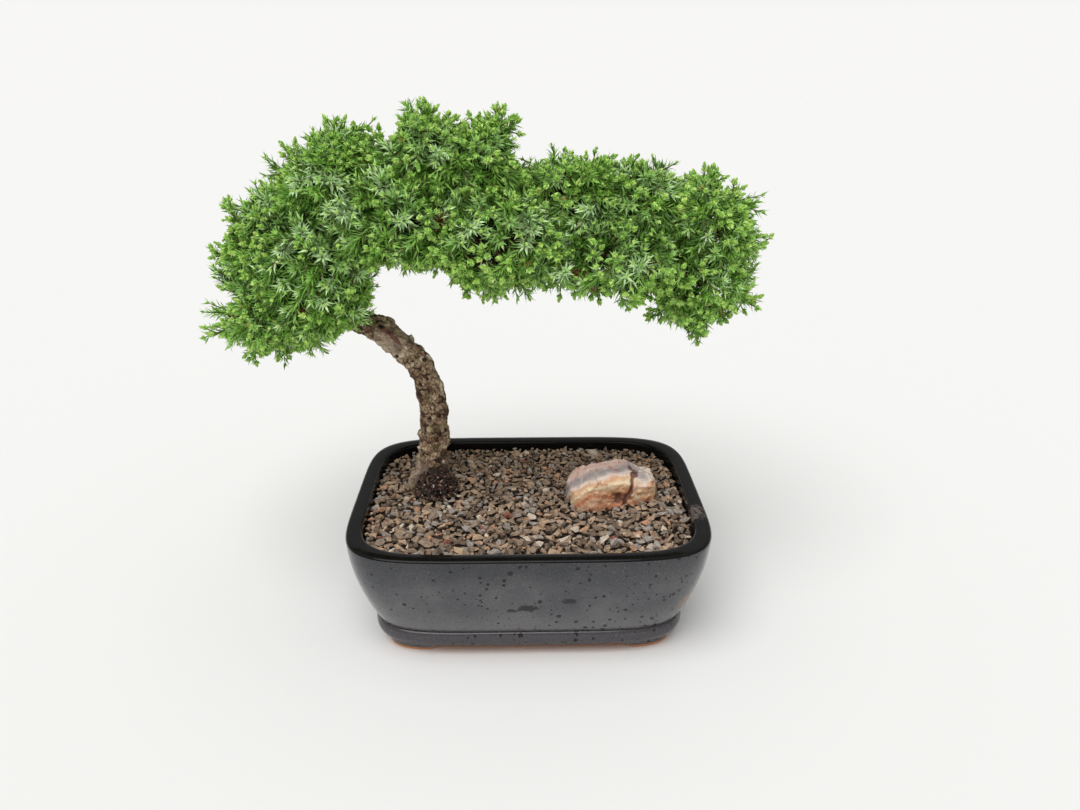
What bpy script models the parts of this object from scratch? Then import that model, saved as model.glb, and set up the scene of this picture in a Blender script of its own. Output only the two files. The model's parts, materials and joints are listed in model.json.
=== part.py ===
"""A juniper bonsai in its glazed pot, at its real size.

The pot is full of gravel and holds a stone. The trunk leans, bends over to the left and
turns back on itself, and its leader runs level over the pot to the right. Boughs leave it
for the masses of foliage, and each mass is grown by one seeded rule inside its own space.
Lengths are in millimetres, measured from the pot's centre at table height, until the
meshes are made: x runs to the right, y to the back and z up.
"""

import math
import random
from collections import namedtuple

import bmesh
import bpy
import numpy as np
from mathutils import Matrix, Vector, noise
from mathutils.geometry import delaunay_2d_cdt

MM = 0.001
GAP = 0.3  # left between two pieces that touch
TRIANGLES_INSIDE = 1  # what delaunay_2d_cdt makes: triangles inside the outline

# Pot
POT_LENGTH = 205.0
POT_DEPTH = 165.0
POT_HEIGHT = 70.0
CORNER_EXPONENT = 5.5  # of the superellipse that the outline follows
OUTLINE_POINTS = 40
WALL = 8.8
RIM_WIDTH = 8.6
RIM_ROUNDING = 1.8
BODY_BASE = 17.2  # height where the body rises from the band
BODY_INSET = 13.5  # of the body's foot, in from the rim
BODY_BULGE = 1.8
BODY_LEVELS = (0.0, 0.13, 0.32, 0.56, 0.84)  # shares of the body's height
GROOVE_HEIGHT = 16.4
GROOVE_INSET = 15.0
BAND_TOP = 15.6
BAND_MIDDLE = 11.8
BAND_BASE = 8.0
BAND_INSET = 12.8
BAND_EDGE_INSET = 13.7
FOOT_TOP = 7.6
FOOT_TOP_INSET = 15.6
FOOT_INSET = 20.5
FOOT_WIDTH = 11.0
FOOT_INNER_SLOPE = 1.0
FOOT_RISE = 6.3  # of the lower edge between the feet
FOOT_FROM_X = (46.0, 60.0)  # the lower edge falls to the foot between these
FOOT_FROM_Y = (28.0, 44.0)
FOOT_EXPONENT = 8.0  # the feet are squarer than the rim
UNDERSIDE = 7.0
FLOOR = 15.5
FLOOR_INSET = 25.0
INNER_LEAST_RISE = 6.0  # from the floor to the lowest ring of the inner wall
DRAIN_HOLE_DIAMETER = 12.0
DRAIN_HOLE_X = 35.0
DRAIN_HOLE_SIDES = 16

# Gravel and stone
SOIL_TOP = 65.0
SOIL_EDGE_DROP = 0.8
SOIL_EDGE_WIDTH = 5.0
SOIL_LEAST_STEP = 4.0  # between the edge of its top and the next ring down
SOIL_CLEARANCE = 0.4  # from the inner wall
GRAIN_TRIES = 9000
GRAIN_SPACING = 6.0
GRAIN_RELIEF = (-1.3, 1.7)  # lowest and highest, from the gravel's level
GRAIN_MARGIN = 9.0  # round the trunk's foot and the stone, where no grain stands up
STONE_CENTRE = (48.0, 0.0)
STONE_SIZE = (46.0, 27.0, 19.0)
STONE_TURN = 16.0  # degrees, its far end to the right
STONE_CUTS = (  # how far out each slanting plane lies, and which way it faces
    (0.62, (-0.75, -0.1, 0.65)),
    (0.72, (0.1, -0.8, 0.6)),
    (0.74, (-0.05, 0.7, 0.7)),
    (0.80, (0.62, 0.12, 0.78)),
    (0.80, (-0.8, -0.6, 0.0)),
    (0.84, (-0.7, 0.7, 0.15)),
    (0.86, (0.1, -0.97, -0.2)),
)
STONE_END_SIZE = (19.0, 20.0, 15.0)
STONE_END_OFFSET = (19.0, -1.0)
STONE_END_CUTS = (
    (0.70, (0.7, -0.3, 0.65)),
    (0.72, (0.8, 0.6, 0.1)),
    (0.74, (0.75, -0.66, 0.1)),
    (0.80, (0.1, 0.7, 0.7)),
)

# Stem: its axis from the gravel to the leader's tip, and the points where it is divided
STEM_AXIS = (
    (-62.0, 24.0, SOIL_TOP + GAP),
    (-58.2, 24.0, 88.0),
    (-57.2, 24.0, 112.0),
    (-64.0, 23.0, 141.0),
    (-83.0, 22.0, 161.5),
    (-104.0, 24.0, 173.5),
    (-116.0, 27.0, 190.0),
    (-111.0, 29.0, 206.0),
    (-93.0, 28.0, 212.0),
    (-50.0, 26.0, 208.0),
    (-22.0, 26.0, 211.5),
    (5.0, 26.0, 215.0),
    (40.0, 25.0, 213.5),
    (84.0, 24.0, 207.0),
)
STEM_LIMBS = (("trunk", 0, 5), ("crook", 5, 7), ("leader_inner", 7, 10), ("leader_outer", 10, 13))
STEPS_PER_SPAN = 3
STEM_ROOT_RADIUS = 9.4
STEM_TIP_RADIUS = 2.8
STEM_SIDES = 10
STEM_LUMPS = 0.08  # share of the radius
LUMP_LENGTH = 11.0
FLARE = 2.4
FLARE_HEIGHT = 7.0
ROOTS = ((228.0, 8.0), (322.0, 5.5), (80.0, 5.5), (150.0, 5.0))  # azimuth, width beyond the trunk

# Boughs
BOUGH_SIDES = 6
BOUGH_RINGS = 5
BOUGH_SHARE = 0.62  # of the radius of the limb that it leaves
BOUGH_MOST_RADIUS = 3.6
BOUGH_TAPER = 0.6
BOUGH_LEAST_TIP = 1.6
BOUGH_LEAST_LENGTH = 7.0  # beyond the bark that it leaves
BOUGH_LEAN = 0.35  # along the limb that it leaves, at its root
BOUGH_STEP = 1.0
BOUGH_END_REACH = 0.74

# Foliage: each mass keeps to an ellipsoid, and the nearest mass has each place
Mass = namedtuple("Mass", "name centre radii limb station tips")
MASSES = (
    Mass("low_left", (-148, 16, 179), (43, 44, 35), "crook", 0.12, ((-186, 20, 163),)),
    Mass("inner_front", (-114, -4, 198), (34, 32, 35), "trunk", 0.93, ()),
    Mass("left_shoulder", (-146, 28, 217), (40, 44, 38), "crook", 0.80, ((-175, 24, 212),)),
    Mass("back_left", (-108, 66, 216), (48, 34, 36), "crook", 0.5, ()),
    Mass("upper_left", (-108, 24, 248), (38, 46, 36), "leader_inner", 0.06, ((-104, 24, 279),)),
    Mass("brow", (-68, -6, 230), (40, 28, 29), "leader_inner", 0.33, ()),
    Mass("top", (-58, 22, 254), (39, 44, 37), "leader_inner", 0.5, ((-63, 24, 288),)),
    Mass("top_right", (-22, 28, 254), (27, 38, 36), "leader_inner", 0.8, ((-14, 24, 286),)),
    Mass("arm_front", (-19, -6, 218), (43, 34, 30), "leader_inner", 0.92, ()),
    Mass("arm_back", (-16, 66, 228), (52, 34, 33), "leader_outer", 0.06, ()),
    Mass("arm_crest", (24, 26, 238), (40, 40, 30), "leader_outer", 0.3, ((14, 24, 266),)),
    Mass("right_front", (42, -2, 208), (43, 38, 26), "leader_outer", 0.45, ()),
    Mass("right_crest", (66, 22, 236), (34, 40, 27), "leader_outer", 0.68, ((71, 24, 257),)),
    Mass("right_back", (60, 66, 222), (40, 30, 32), "leader_outer", 0.56, ()),
    Mass("right_low", (101, 12, 190), (36, 36, 34), "leader_outer", 0.9, ((101, 14, 161),)),
    Mass("right_far", (106, 26, 224), (33, 46, 36), "leader_outer", 1.0, ((136, 24, 214), (100, 24, 252))),
)
CENTRES = np.array([mass.centre for mass in MASSES], float)
RADII = np.array([mass.radii for mass in MASSES], float)
TWIG_BORDER = 0.08  # of reach, between a twig and its neighbours' space
NEEDLE_BORDER = 0.045
SHOOT_REACH = (0.80, 0.92)
LEAST_REACH = 0.5
REACH_STEP = 0.04
SHOOTS_PER_MASS = 12  # directions that are tried, evenly all round
STEM_IN_MASS_SIDES = 4
STEM_IN_MASS_RINGS = 5
BARE_STEM_SHARE = 0.4  # of the stem in a mass, before its first shoot
GOLDEN_ANGLE = math.pi * (3 - math.sqrt(5))
TWIG_RADIUS = 1.2
TWIG_CLEARANCE = 1.2
TARGET_CLEARANCE = 4.2  # from limbs to where a shoot may end
SHOOT_LIFT = 0.35  # how far shoots turn up at their tips
SHOOT_FOLLOW = 0.5  # how far a shoot sets off along the twig that it leaves
SHOOT_TURN_COST = 1.7  # at 1 a shoot straight onward would cost nothing
SHOOT_POINTS = 9
SHOOT_JOINTS = (3, 4)  # points of a shoot that later shoots may leave from
SPRAY_LENGTH = 23.0
SPRAY_MOST_SHARE = 0.75  # of a short shoot
SPRAY_RADII = (1.6, 2.9, 2.2)
SPRAY_STATIONS = (0.0, 0.4, 0.78)
SPRAY_TWIST = 0.6  # radians from ring to ring
NEEDLE_OUT = 8.5
NEEDLE_FORWARD = 7.0
NEEDLE_CLEARANCE = 0.8
CORE_REACH = 0.52
CORE_LEAST_REACH = 0.1
CORE_BORDER = 0.12
CORE_CLEARANCE = 2.0

# Colours, as linear red, green and blue
GLAZE = (0.045, 0.050, 0.060)
GRAVEL = (0.16, 0.11, 0.08)
STONE_PINK = (0.55, 0.36, 0.27)
BARK = (0.17, 0.12, 0.08)
FOLIAGE = (0.07, 0.20, 0.03)


def unit(vector):
    """The vector at length one."""
    vector = np.asarray(vector, float)
    return vector / np.linalg.norm(vector)


def make_material(name, colour, roughness):
    """A plain material for a non-metal."""
    material = bpy.data.materials.new(name)
    material.use_nodes = True
    shader = material.node_tree.nodes["Principled BSDF"]
    shader.inputs["Base Color"].default_value = (*colour, 1.0)
    shader.inputs["Roughness"].default_value = roughness
    shader.inputs["Metallic"].default_value = 0.0
    return material


def add_object(name, bm, material=None):
    """A new object from a bmesh in millimetres."""
    bmesh.ops.recalc_face_normals(bm, faces=bm.faces)
    bmesh.ops.scale(bm, vec=(MM, MM, MM), verts=bm.verts)
    mesh = bpy.data.meshes.new(name)
    bm.to_mesh(mesh)
    bm.free()
    obj = bpy.data.objects.new(name, mesh)
    bpy.context.scene.collection.objects.link(obj)
    if material:
        mesh.materials.append(material)
    return obj


def remove_objects(objects):
    """Delete mesh objects with their meshes."""
    for obj in list(objects):
        mesh = obj.data
        bpy.data.objects.remove(obj)
        bpy.data.meshes.remove(mesh)


def loft(rings):
    """A closed body through rings of equally many points, with a flat face at each end."""
    bm = bmesh.new()
    loops = [[bm.verts.new(point) for point in ring] for ring in rings]
    bm.faces.new(loops[0])
    bm.faces.new(loops[-1])
    for low, high in zip(loops, loops[1:]):
        for i in range(len(low)):
            bm.faces.new((low[i - 1], low[i], high[i], high[i - 1]))
    return bm


def apply_boolean(obj, operation, operand=None, collection=None):
    """Join or cut the object for good, by one object or by all of a collection."""
    modifier = obj.modifiers.new(operation.title(), "BOOLEAN")
    modifier.operation = operation
    modifier.solver = "EXACT"
    modifier.use_self = operation == "UNION"
    if collection:
        modifier.operand_type = "COLLECTION"
        modifier.collection = collection
    else:
        modifier.object = operand
    bpy.context.view_layer.update()
    evaluated = obj.evaluated_get(bpy.context.evaluated_depsgraph_get())
    mesh = bpy.data.meshes.new_from_object(evaluated)
    old = obj.data
    obj.modifiers.clear()
    obj.data = mesh
    mesh.name = old.name
    bpy.data.meshes.remove(old)


# Pot, gravel and stone


def soft_rectangle(inset, height, exponent=CORNER_EXPONENT):
    """The pot's outline drawn in by inset, as a ring of points that are closer at its corners."""
    angle = np.arange(OUTLINE_POINTS) * 2 * math.pi / OUTLINE_POINTS
    power = 2 / exponent
    ring = np.empty((OUTLINE_POINTS, 3))
    ring[:, 0] = (POT_LENGTH / 2 - inset) * np.sign(np.cos(angle)) * np.abs(np.cos(angle)) ** power
    ring[:, 1] = (POT_DEPTH / 2 - inset) * np.sign(np.sin(angle)) * np.abs(np.sin(angle)) ** power
    ring[:, 2] = height
    return ring


def smooth_step(values, start, end):
    """From 0 at start to 1 at end, easing at both."""
    share = np.clip((values - start) / (end - start), 0, 1)
    return share * share * (3 - 2 * share)


def foot_edge(ring):
    """Heights of the pot's lower edge: 0 at the four feet and risen between them."""
    at_corner = smooth_step(np.abs(ring[:, 0]), *FOOT_FROM_X)
    at_corner = at_corner * smooth_step(np.abs(ring[:, 1]), *FOOT_FROM_Y)
    return FOOT_RISE * (1 - at_corner)


def body_inset(height):
    """How far the outer wall lies in from the rim: it bulges as it rises."""
    share = (height - BODY_BASE) / (POT_HEIGHT - BODY_BASE)
    return BODY_INSET * (1 - share) ** BODY_BULGE


def wall_levels():
    """Heights of the rings of the body's wall, from its foot to under the rim."""
    return [BODY_BASE + share * (POT_HEIGHT - BODY_BASE) for share in BODY_LEVELS]


def inner_wall():
    """Inset and height of each ring inside the pot, from the rim down to the floor."""
    levels = [level for level in reversed(wall_levels()) if level > FLOOR + INNER_LEAST_RISE]
    return [(body_inset(level) + WALL, level) for level in levels] + [(FLOOR_INSET, FLOOR)]


def pot_rings():
    """Rings from the middle of the underside, out and up the wall, and down inside."""
    lower_edge = foot_edge(soft_rectangle(FOOT_INSET, 0, FOOT_EXPONENT))
    foot_inner = FOOT_INSET + FOOT_WIDTH
    outer = [
        soft_rectangle(foot_inner + FOOT_INNER_SLOPE, UNDERSIDE, FOOT_EXPONENT),
        soft_rectangle(foot_inner, lower_edge, FOOT_EXPONENT),
        soft_rectangle(FOOT_INSET, lower_edge, FOOT_EXPONENT),
        soft_rectangle(FOOT_TOP_INSET, FOOT_TOP),
        soft_rectangle(BAND_EDGE_INSET, BAND_BASE),
        soft_rectangle(BAND_INSET, BAND_MIDDLE),
        soft_rectangle(BAND_EDGE_INSET, BAND_TOP),
        soft_rectangle(GROOVE_INSET, GROOVE_HEIGHT),
    ]
    outer += [soft_rectangle(body_inset(level), level) for level in wall_levels()]
    rim = [
        soft_rectangle(0, POT_HEIGHT - RIM_ROUNDING),
        soft_rectangle(RIM_ROUNDING * 0.8, POT_HEIGHT),
        soft_rectangle(RIM_WIDTH - RIM_ROUNDING * 0.6, POT_HEIGHT),
        soft_rectangle(RIM_WIDTH, POT_HEIGHT - RIM_ROUNDING * 0.6),
    ]
    inner = [soft_rectangle(inset, level) for inset, level in inner_wall()]
    return outer + rim + inner


def make_pot():
    """The pot on four corner feet, with two drain holes in its floor."""
    pot = add_object("pot", loft(pot_rings()), make_material("glaze", GLAZE, 0.15))
    floor_middle = (UNDERSIDE + FLOOR) / 2
    for x in (-DRAIN_HOLE_X, DRAIN_HOLE_X):
        bm = bmesh.new()
        bmesh.ops.create_cone(
            bm,
            cap_ends=True,
            segments=DRAIN_HOLE_SIDES,
            radius1=DRAIN_HOLE_DIAMETER / 2,
            radius2=DRAIN_HOLE_DIAMETER / 2,
            depth=FLOOR,
        )
        bmesh.ops.translate(bm, vec=(x, 0, floor_middle), verts=bm.verts)
        drill = add_object("drill", bm)
        apply_boolean(pot, "DIFFERENCE", drill)
        remove_objects([drill])


def scatter_grains(inset):
    """Points of the gravel's top, clear of its edge and of each other."""
    rng = random.Random("gravel")
    half_length = POT_LENGTH / 2 - inset
    half_depth = POT_DEPTH / 2 - inset
    grains = []
    for _ in range(GRAIN_TRIES):
        grain = Vector((rng.uniform(-half_length, half_length), rng.uniform(-half_depth, half_depth)))
        out = abs(grain.x / half_length) ** CORNER_EXPONENT + abs(grain.y / half_depth) ** CORNER_EXPONENT
        if out < 1 and all((grain - other).length > GRAIN_SPACING for other in grains):
            grains.append(grain)
    return grains


def stands_clear(grain):
    """Whether a grain lies clear of the trunk's foot and of the stone."""
    offset = grain - Vector(STEM_AXIS[0][:2])
    foot = bark_shape(STEM_AXIS[0], [STEM_ROOT_RADIUS], [math.atan2(offset.y, offset.x)])[0]
    at_stone = grain - Vector(STONE_CENTRE)
    at_stone.rotate(Matrix.Rotation(-math.radians(STONE_TURN), 2))
    beyond_end = at_stone.x - STONE_END_OFFSET[0] - STONE_END_SIZE[0] / 2
    beyond_start = -at_stone.x - STONE_SIZE[0] / 2
    beyond_side = abs(at_stone.y) - STONE_SIZE[1] / 2
    return offset.length > foot + GRAIN_MARGIN and max(beyond_end, beyond_start, beyond_side) > GRAIN_MARGIN


def lay_gravel(bm, inset):
    """Break the flat top, the first face, into facets about as rough as the gravel."""
    bm.faces.ensure_lookup_table()
    top = bm.faces[0]
    verts = list(top.verts)
    bm.faces.remove(top)
    rng = random.Random("relief")
    edge = [vert.co.xy for vert in verts]
    grains = scatter_grains(inset)
    for grain in grains:
        relief = rng.uniform(*GRAIN_RELIEF)
        if not stands_clear(grain):
            relief = min(relief, 0)
        verts.append(bm.verts.new((*grain, SOIL_TOP + relief)))
    outline = [(i, (i + 1) % len(edge)) for i in range(len(edge))]
    _, _, faces, sources, *_ = delaunay_2d_cdt(edge + grains, outline, [], TRIANGLES_INSIDE, 0.001)
    for face in faces:
        bm.faces.new([verts[sources[i][0]] for i in face])


def make_soil():
    """The gravel fills the pot to a rough top that falls a little at its edge."""
    sides = [(inset, level) for inset, level in inner_wall() if level < SOIL_TOP - SOIL_LEAST_STEP]
    top_wall = np.interp(SOIL_TOP, wall_levels(), [body_inset(z) for z in wall_levels()]) + WALL
    sides.insert(0, (top_wall, SOIL_TOP - SOIL_EDGE_DROP))
    rings = [soft_rectangle(inset + SOIL_CLEARANCE, level) for inset, level in sides]
    rings[-1][:, 2] += GAP
    rings.insert(0, soft_rectangle(top_wall + SOIL_EDGE_WIDTH, SOIL_TOP))
    bm = loft(rings)
    lay_gravel(bm, top_wall + SOIL_EDGE_WIDTH + GRAIN_SPACING / 3)
    add_object("soil", bm, make_material("gravel", GRAVEL, 0.9))


def rough_block(size, cuts):
    """A block with its base at z 0, broken by slanting planes."""
    bm = bmesh.new()
    bmesh.ops.create_cube(bm, size=1)
    bmesh.ops.scale(bm, vec=size, verts=bm.verts)
    bmesh.ops.translate(bm, vec=(0, 0, size[2] / 2), verts=bm.verts)
    for share, direction in cuts:
        point = np.sign(direction) * np.array(size) / 2 * share
        point[2] += size[2] / 2
        geometry = bm.verts[:] + bm.edges[:] + bm.faces[:]
        cut = bmesh.ops.bisect_plane(bm, geom=geometry, plane_co=point, plane_no=direction, clear_outer=True)
        edges = [item for item in cut["geom_cut"] if isinstance(item, bmesh.types.BMEdge)]
        bmesh.ops.holes_fill(bm, edges=edges)
    return bm


def make_stone():
    """The stone on the gravel: a long wedge with a smaller lump broken off at its end."""
    pink = make_material("stone", STONE_PINK, 0.6)
    stone = add_object("stone", rough_block(STONE_SIZE, STONE_CUTS), pink)
    bm = rough_block(STONE_END_SIZE, STONE_END_CUTS)
    bmesh.ops.translate(bm, vec=(*STONE_END_OFFSET, 0), verts=bm.verts)
    lump = add_object("lump", bm)
    apply_boolean(stone, "UNION", lump)
    remove_objects([lump])
    stone.rotation_euler.z = math.radians(STONE_TURN)
    stone.location = (STONE_CENTRE[0] * MM, STONE_CENTRE[1] * MM, (SOIL_TOP + GAP) * MM)


# Limbs


def smooth_curve(points, steps):
    """A curve through all the points, with equally many steps between each two."""
    points = np.array(points, float)
    before = 2 * points[0] - points[1]
    after = 2 * points[-1] - points[-2]
    p = np.vstack((before, points, after))
    curve = []
    for i in range(1, len(p) - 2):
        for t in np.arange(steps) / steps:
            a = 2 * p[i]
            b = p[i + 1] - p[i - 1]
            c = 2 * p[i - 1] - 5 * p[i] + 4 * p[i + 1] - p[i + 2]
            d = 3 * p[i] - p[i - 1] - 3 * p[i + 1] + p[i + 2]
            curve.append((a + b * t + c * t * t + d * t**3) / 2)
    curve.append(points[-1])
    return np.array(curve)


def bezier(start, leave, arrive, end, count):
    """Points of a cubic curve that leaves and arrives along the two directions."""
    t = np.linspace(0, 1, count)[:, None]
    third = np.linalg.norm(end - start) / 3
    p1 = start + unit(leave) * third
    p2 = end - unit(arrive) * third
    return (1 - t) ** 3 * start + 3 * (1 - t) ** 2 * t * p1 + 3 * (1 - t) * t * t * p2 + t**3 * end


def frames_along(points):
    """Directions of the curve, and two side directions that turn no more than it does."""
    along = np.gradient(points, axis=0)
    along /= np.linalg.norm(along, axis=1)[:, None]
    side = unit(np.cross((0, 1, 0), along[0]) + np.array((1e-3, 0, 0)))
    sides = []
    for direction in along:
        side = unit(side - direction * (side @ direction))
        sides.append(side)
    sides = np.array(sides)
    return along, sides, np.cross(along, sides)


def run_along(points):
    """Length of the curve from its start to each point."""
    steps = np.linalg.norm(np.diff(points, axis=0), axis=1)
    return np.concatenate(([0], np.cumsum(steps)))


class Limb:
    """A tapering limb: its axis, its radii, and a frame at each point of the axis."""

    def __init__(self, points, radii, frames):
        self.points = points
        self.radii = radii
        self.along, self.sides, self.others = frames

    def rings(self, angles, shape=None, grow=0.0):
        """Rings of points round the axis. Shape gives a share of the radius to add."""
        rings = []
        for i, centre in enumerate(self.points):
            radius = np.full(len(angles), self.radii[i])
            if shape:
                radius = shape(centre, radius, angles)
            radius = radius + grow
            across = np.cos(angles)[:, None] * self.sides[i] + np.sin(angles)[:, None] * self.others[i]
            rings.append(centre + across * radius[:, None])
        return rings

    def at(self, share):
        """Axis point, direction and radius at a share of the limb's length."""
        run = run_along(self.points)
        where = share * run[-1]
        point = np.array([np.interp(where, run, self.points[:, k]) for k in range(3)])
        nearest = int(np.argmin(np.abs(run - where)))
        return point, self.along[nearest], float(np.interp(where, run, self.radii))


def circle(sides):
    """Angles of a ring's points."""
    return np.arange(sides) * 2 * math.pi / sides


def bark_shape(centre, radius, angles):
    """Lumps of the old wood, and the roots that spread from the trunk's foot."""
    shaped = []
    height = centre[2] - SOIL_TOP
    fall = math.exp(-max(height, 0) / FLARE_HEIGHT)
    for r, angle in zip(radius, angles):
        place = (math.cos(angle) + centre[0] / LUMP_LENGTH, math.sin(angle), centre[2] / LUMP_LENGTH)
        r = r * (1 + STEM_LUMPS * 2 * noise.noise(place))
        r += FLARE * fall
        for azimuth, width in ROOTS:
            toward = max(0.0, math.cos(angle - math.radians(azimuth)))
            r += width * fall * toward**4
        shaped.append(r)
    return np.array(shaped)


def divide_stem():
    """The stem's limbs by name, each 0.3 mm clear of the next at a flat cut."""
    axis = smooth_curve(STEM_AXIS, STEPS_PER_SPAN)
    run = run_along(axis)
    radii = STEM_ROOT_RADIUS + (STEM_TIP_RADIUS - STEM_ROOT_RADIUS) * run / run[-1]
    along, sides, others = frames_along(axis)
    along[0] = (0, 0, 1)
    sides[0] = (1, 0, 0)
    others[0] = (0, 1, 0)
    limbs = {}
    for name, first, last in STEM_LIMBS:
        part = slice(first * STEPS_PER_SPAN, last * STEPS_PER_SPAN + 1)
        points = axis[part].copy()
        if first > 0:
            points[0] += along[part][0] * GAP
        limbs[name] = Limb(points, radii[part], (along[part], sides[part], others[part]))
    return limbs


def make_stem(limbs, bark):
    """The trunk and the limbs that continue it, with lumpy bark."""
    for name, limb in limbs.items():
        add_object(name, loft(limb.rings(circle(STEM_SIDES), bark_shape)), bark)


def plan_bough(index, mass, limbs):
    """The limb that carries a mass, from the stem's axis to where it enters the mass."""
    start, along, limb_radius = limbs[mass.limb].at(mass.station)
    heart = np.array(mass.centre, float)
    toward = unit(heart - start)
    outward = unit(toward - along * (toward @ along))
    end = start
    least = limb_radius + BOUGH_LEAST_LENGTH
    while reaches(end[None])[index, 0] > BOUGH_END_REACH or np.linalg.norm(end - start) < least:
        end = end + toward * BOUGH_STEP
    root_radius = min(BOUGH_SHARE * limb_radius, BOUGH_MOST_RADIUS)
    tip_radius = max(BOUGH_TAPER * root_radius, BOUGH_LEAST_TIP)
    points = bezier(start, outward + BOUGH_LEAN * along, toward, end, BOUGH_RINGS)
    radii = np.linspace(root_radius, tip_radius, BOUGH_RINGS)
    return Limb(points, radii, frames_along(points))


def make_bough(name, bough, limb, bark):
    """A bough whose root is hollowed to sit round the limb that it leaves."""
    obj = add_object(name, loft(bough.rings(circle(BOUGH_SIDES))), bark)
    grow = GAP / math.cos(math.pi / STEM_SIDES)
    bark_clearance = add_object("clearance", loft(limb.rings(circle(STEM_SIDES), bark_shape, grow)))
    apply_boolean(obj, "DIFFERENCE", bark_clearance)
    remove_objects([bark_clearance])
    keep_largest_body(obj)


# Foliage


def reaches(points):
    """How far out each point lies in every mass: 1 is at the end of the mass's space."""
    offsets = (points[None, :, :] - CENTRES[:, None, :]) / RADII[:, None, :]
    return np.linalg.norm(offsets, axis=2)


def in_own_space(index, points, border):
    """Which points lie in the mass's space and deeper in it than in any other."""
    every = reaches(points)
    own = every[index]
    nearest_other = np.delete(every, index, axis=0).min(axis=0)
    return (own < 1) & (nearest_other > own + border)


class Clearance:
    """Distances from points to the bark of all the limbs."""

    def __init__(self, limbs):
        self.starts = np.vstack([limb.points[:-1] for limb in limbs])
        self.spans = np.vstack([np.diff(limb.points, axis=0) for limb in limbs])
        self.radii = np.concatenate([np.maximum(limb.radii[:-1], limb.radii[1:]) for limb in limbs])
        self.radii = self.radii * (1 + STEM_LUMPS)

    def gaps(self, points):
        """The least distance from each point to bark."""
        offsets = points[:, None, :] - self.starts[None]
        share = (offsets * self.spans).sum(axis=2) / (self.spans**2).sum(axis=1)
        nearest = self.starts + np.clip(share, 0, 1)[:, :, None] * self.spans
        away = np.linalg.norm(points[:, None, :] - nearest, axis=2)
        return (away - self.radii).min(axis=1)


def golden_directions(count):
    """Directions spread evenly all round."""
    directions = []
    for i in range(count):
        z = 1 - 2 * (i + 0.5) / count
        across = math.sqrt(1 - z * z)
        directions.append((across * math.cos(i * GOLDEN_ANGLE), across * math.sin(i * GOLDEN_ANGLE), z))
    return np.array(directions)


def draw_in(index, direction, reach, least, border, clearance, room):
    """The furthest point in a direction that lies in the mass's space, clear of limbs."""
    while reach >= least:
        point = CENTRES[index] + direction * RADII[index] * reach
        inside = in_own_space(index, point[None], border)[0]
        if inside and clearance.gaps(point[None])[0] > room:
            return point
        reach -= REACH_STEP
    return None


def best_joint(joints, target):
    """The twig point that a shoot to the target would most likely leave from."""
    places = np.array([place for place, direction in joints])
    directions = np.array([direction for place, direction in joints])
    offsets = target - places
    lengths = np.linalg.norm(offsets, axis=1)
    onward = (offsets * directions).sum(axis=1) / np.maximum(lengths, 1e-6)
    return joints[int(np.argmin(lengths * (SHOOT_TURN_COST - onward)))]


def plan_shoots(index, mass, stem, clearance):
    """Paths of the shoots of one mass: each leaves the stem or an earlier shoot."""
    rng = random.Random(mass.name)
    run = run_along(stem)
    along = frames_along(stem)[0]
    joints = [(p, d) for p, d, s in zip(stem, along, run) if s > BARE_STEM_SHARE * run[-1]]
    targets = [np.array(tip, float) for tip in mass.tips]
    for direction in golden_directions(SHOOTS_PER_MASS):
        reach = rng.uniform(*SHOOT_REACH)
        target = draw_in(index, direction, reach, LEAST_REACH, TWIG_BORDER, clearance, TARGET_CLEARANCE)
        if target is not None:
            targets.append(target)
    paths = []
    for target in targets:
        place, direction = best_joint(joints, target)
        outward = unit(unit(target - CENTRES[index]) + np.array((0, 0, SHOOT_LIFT)))
        leave = unit(target - place) + SHOOT_FOLLOW * direction
        path = bezier(place, leave, outward, target, SHOOT_POINTS)
        free = clearance.gaps(path[2:]) > TWIG_RADIUS + TWIG_CLEARANCE
        inside = in_own_space(index, path[:-1], TWIG_BORDER / 2)
        if free.all() and inside.all():
            paths.append(path)
            joints += [(path[k], unit(path[k + 1] - path[k - 1])) for k in SHOOT_JOINTS]
    return paths


def spray_body(index, path, roll, clearance):
    """One shoot: a three-sided twig, turned by roll, that ends in a spray of needles."""
    run = run_along(path)
    spray = min(SPRAY_LENGTH, SPRAY_MOST_SHARE * run[-1])
    bare_end = run[-1] - spray
    stations = [0] + [bare_end + share * spray for share in SPRAY_STATIONS]
    radii = [TWIG_RADIUS, *SPRAY_RADII]
    points = np.array([[np.interp(s, run, path[:, k]) for k in range(3)] for s in stations])
    along, sides, others = frames_along(np.vstack((points, path[-1])))
    bm = bmesh.new()
    loops = []
    for i, (centre, radius) in enumerate(zip(points, radii)):
        angles = circle(3) + roll + i * SPRAY_TWIST
        across = np.cos(angles)[:, None] * sides[i] + np.sin(angles)[:, None] * others[i]
        loops.append([bm.verts.new(point) for point in centre + across * radius])
    bm.faces.new(loops[0])
    tip = bm.verts.new(path[-1])
    for i in range(3):
        bm.faces.new((loops[-1][i - 1], loops[-1][i], tip))
    for ring in range(len(loops) - 1):
        low, high = loops[ring], loops[ring + 1]
        for i in range(3):
            face = bm.faces.new((low[i - 1], low[i], high[i], high[i - 1]))
            if ring >= 1:
                raise_needle(bm, face, points[ring], along[ring], index, clearance)
    return bm


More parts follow.
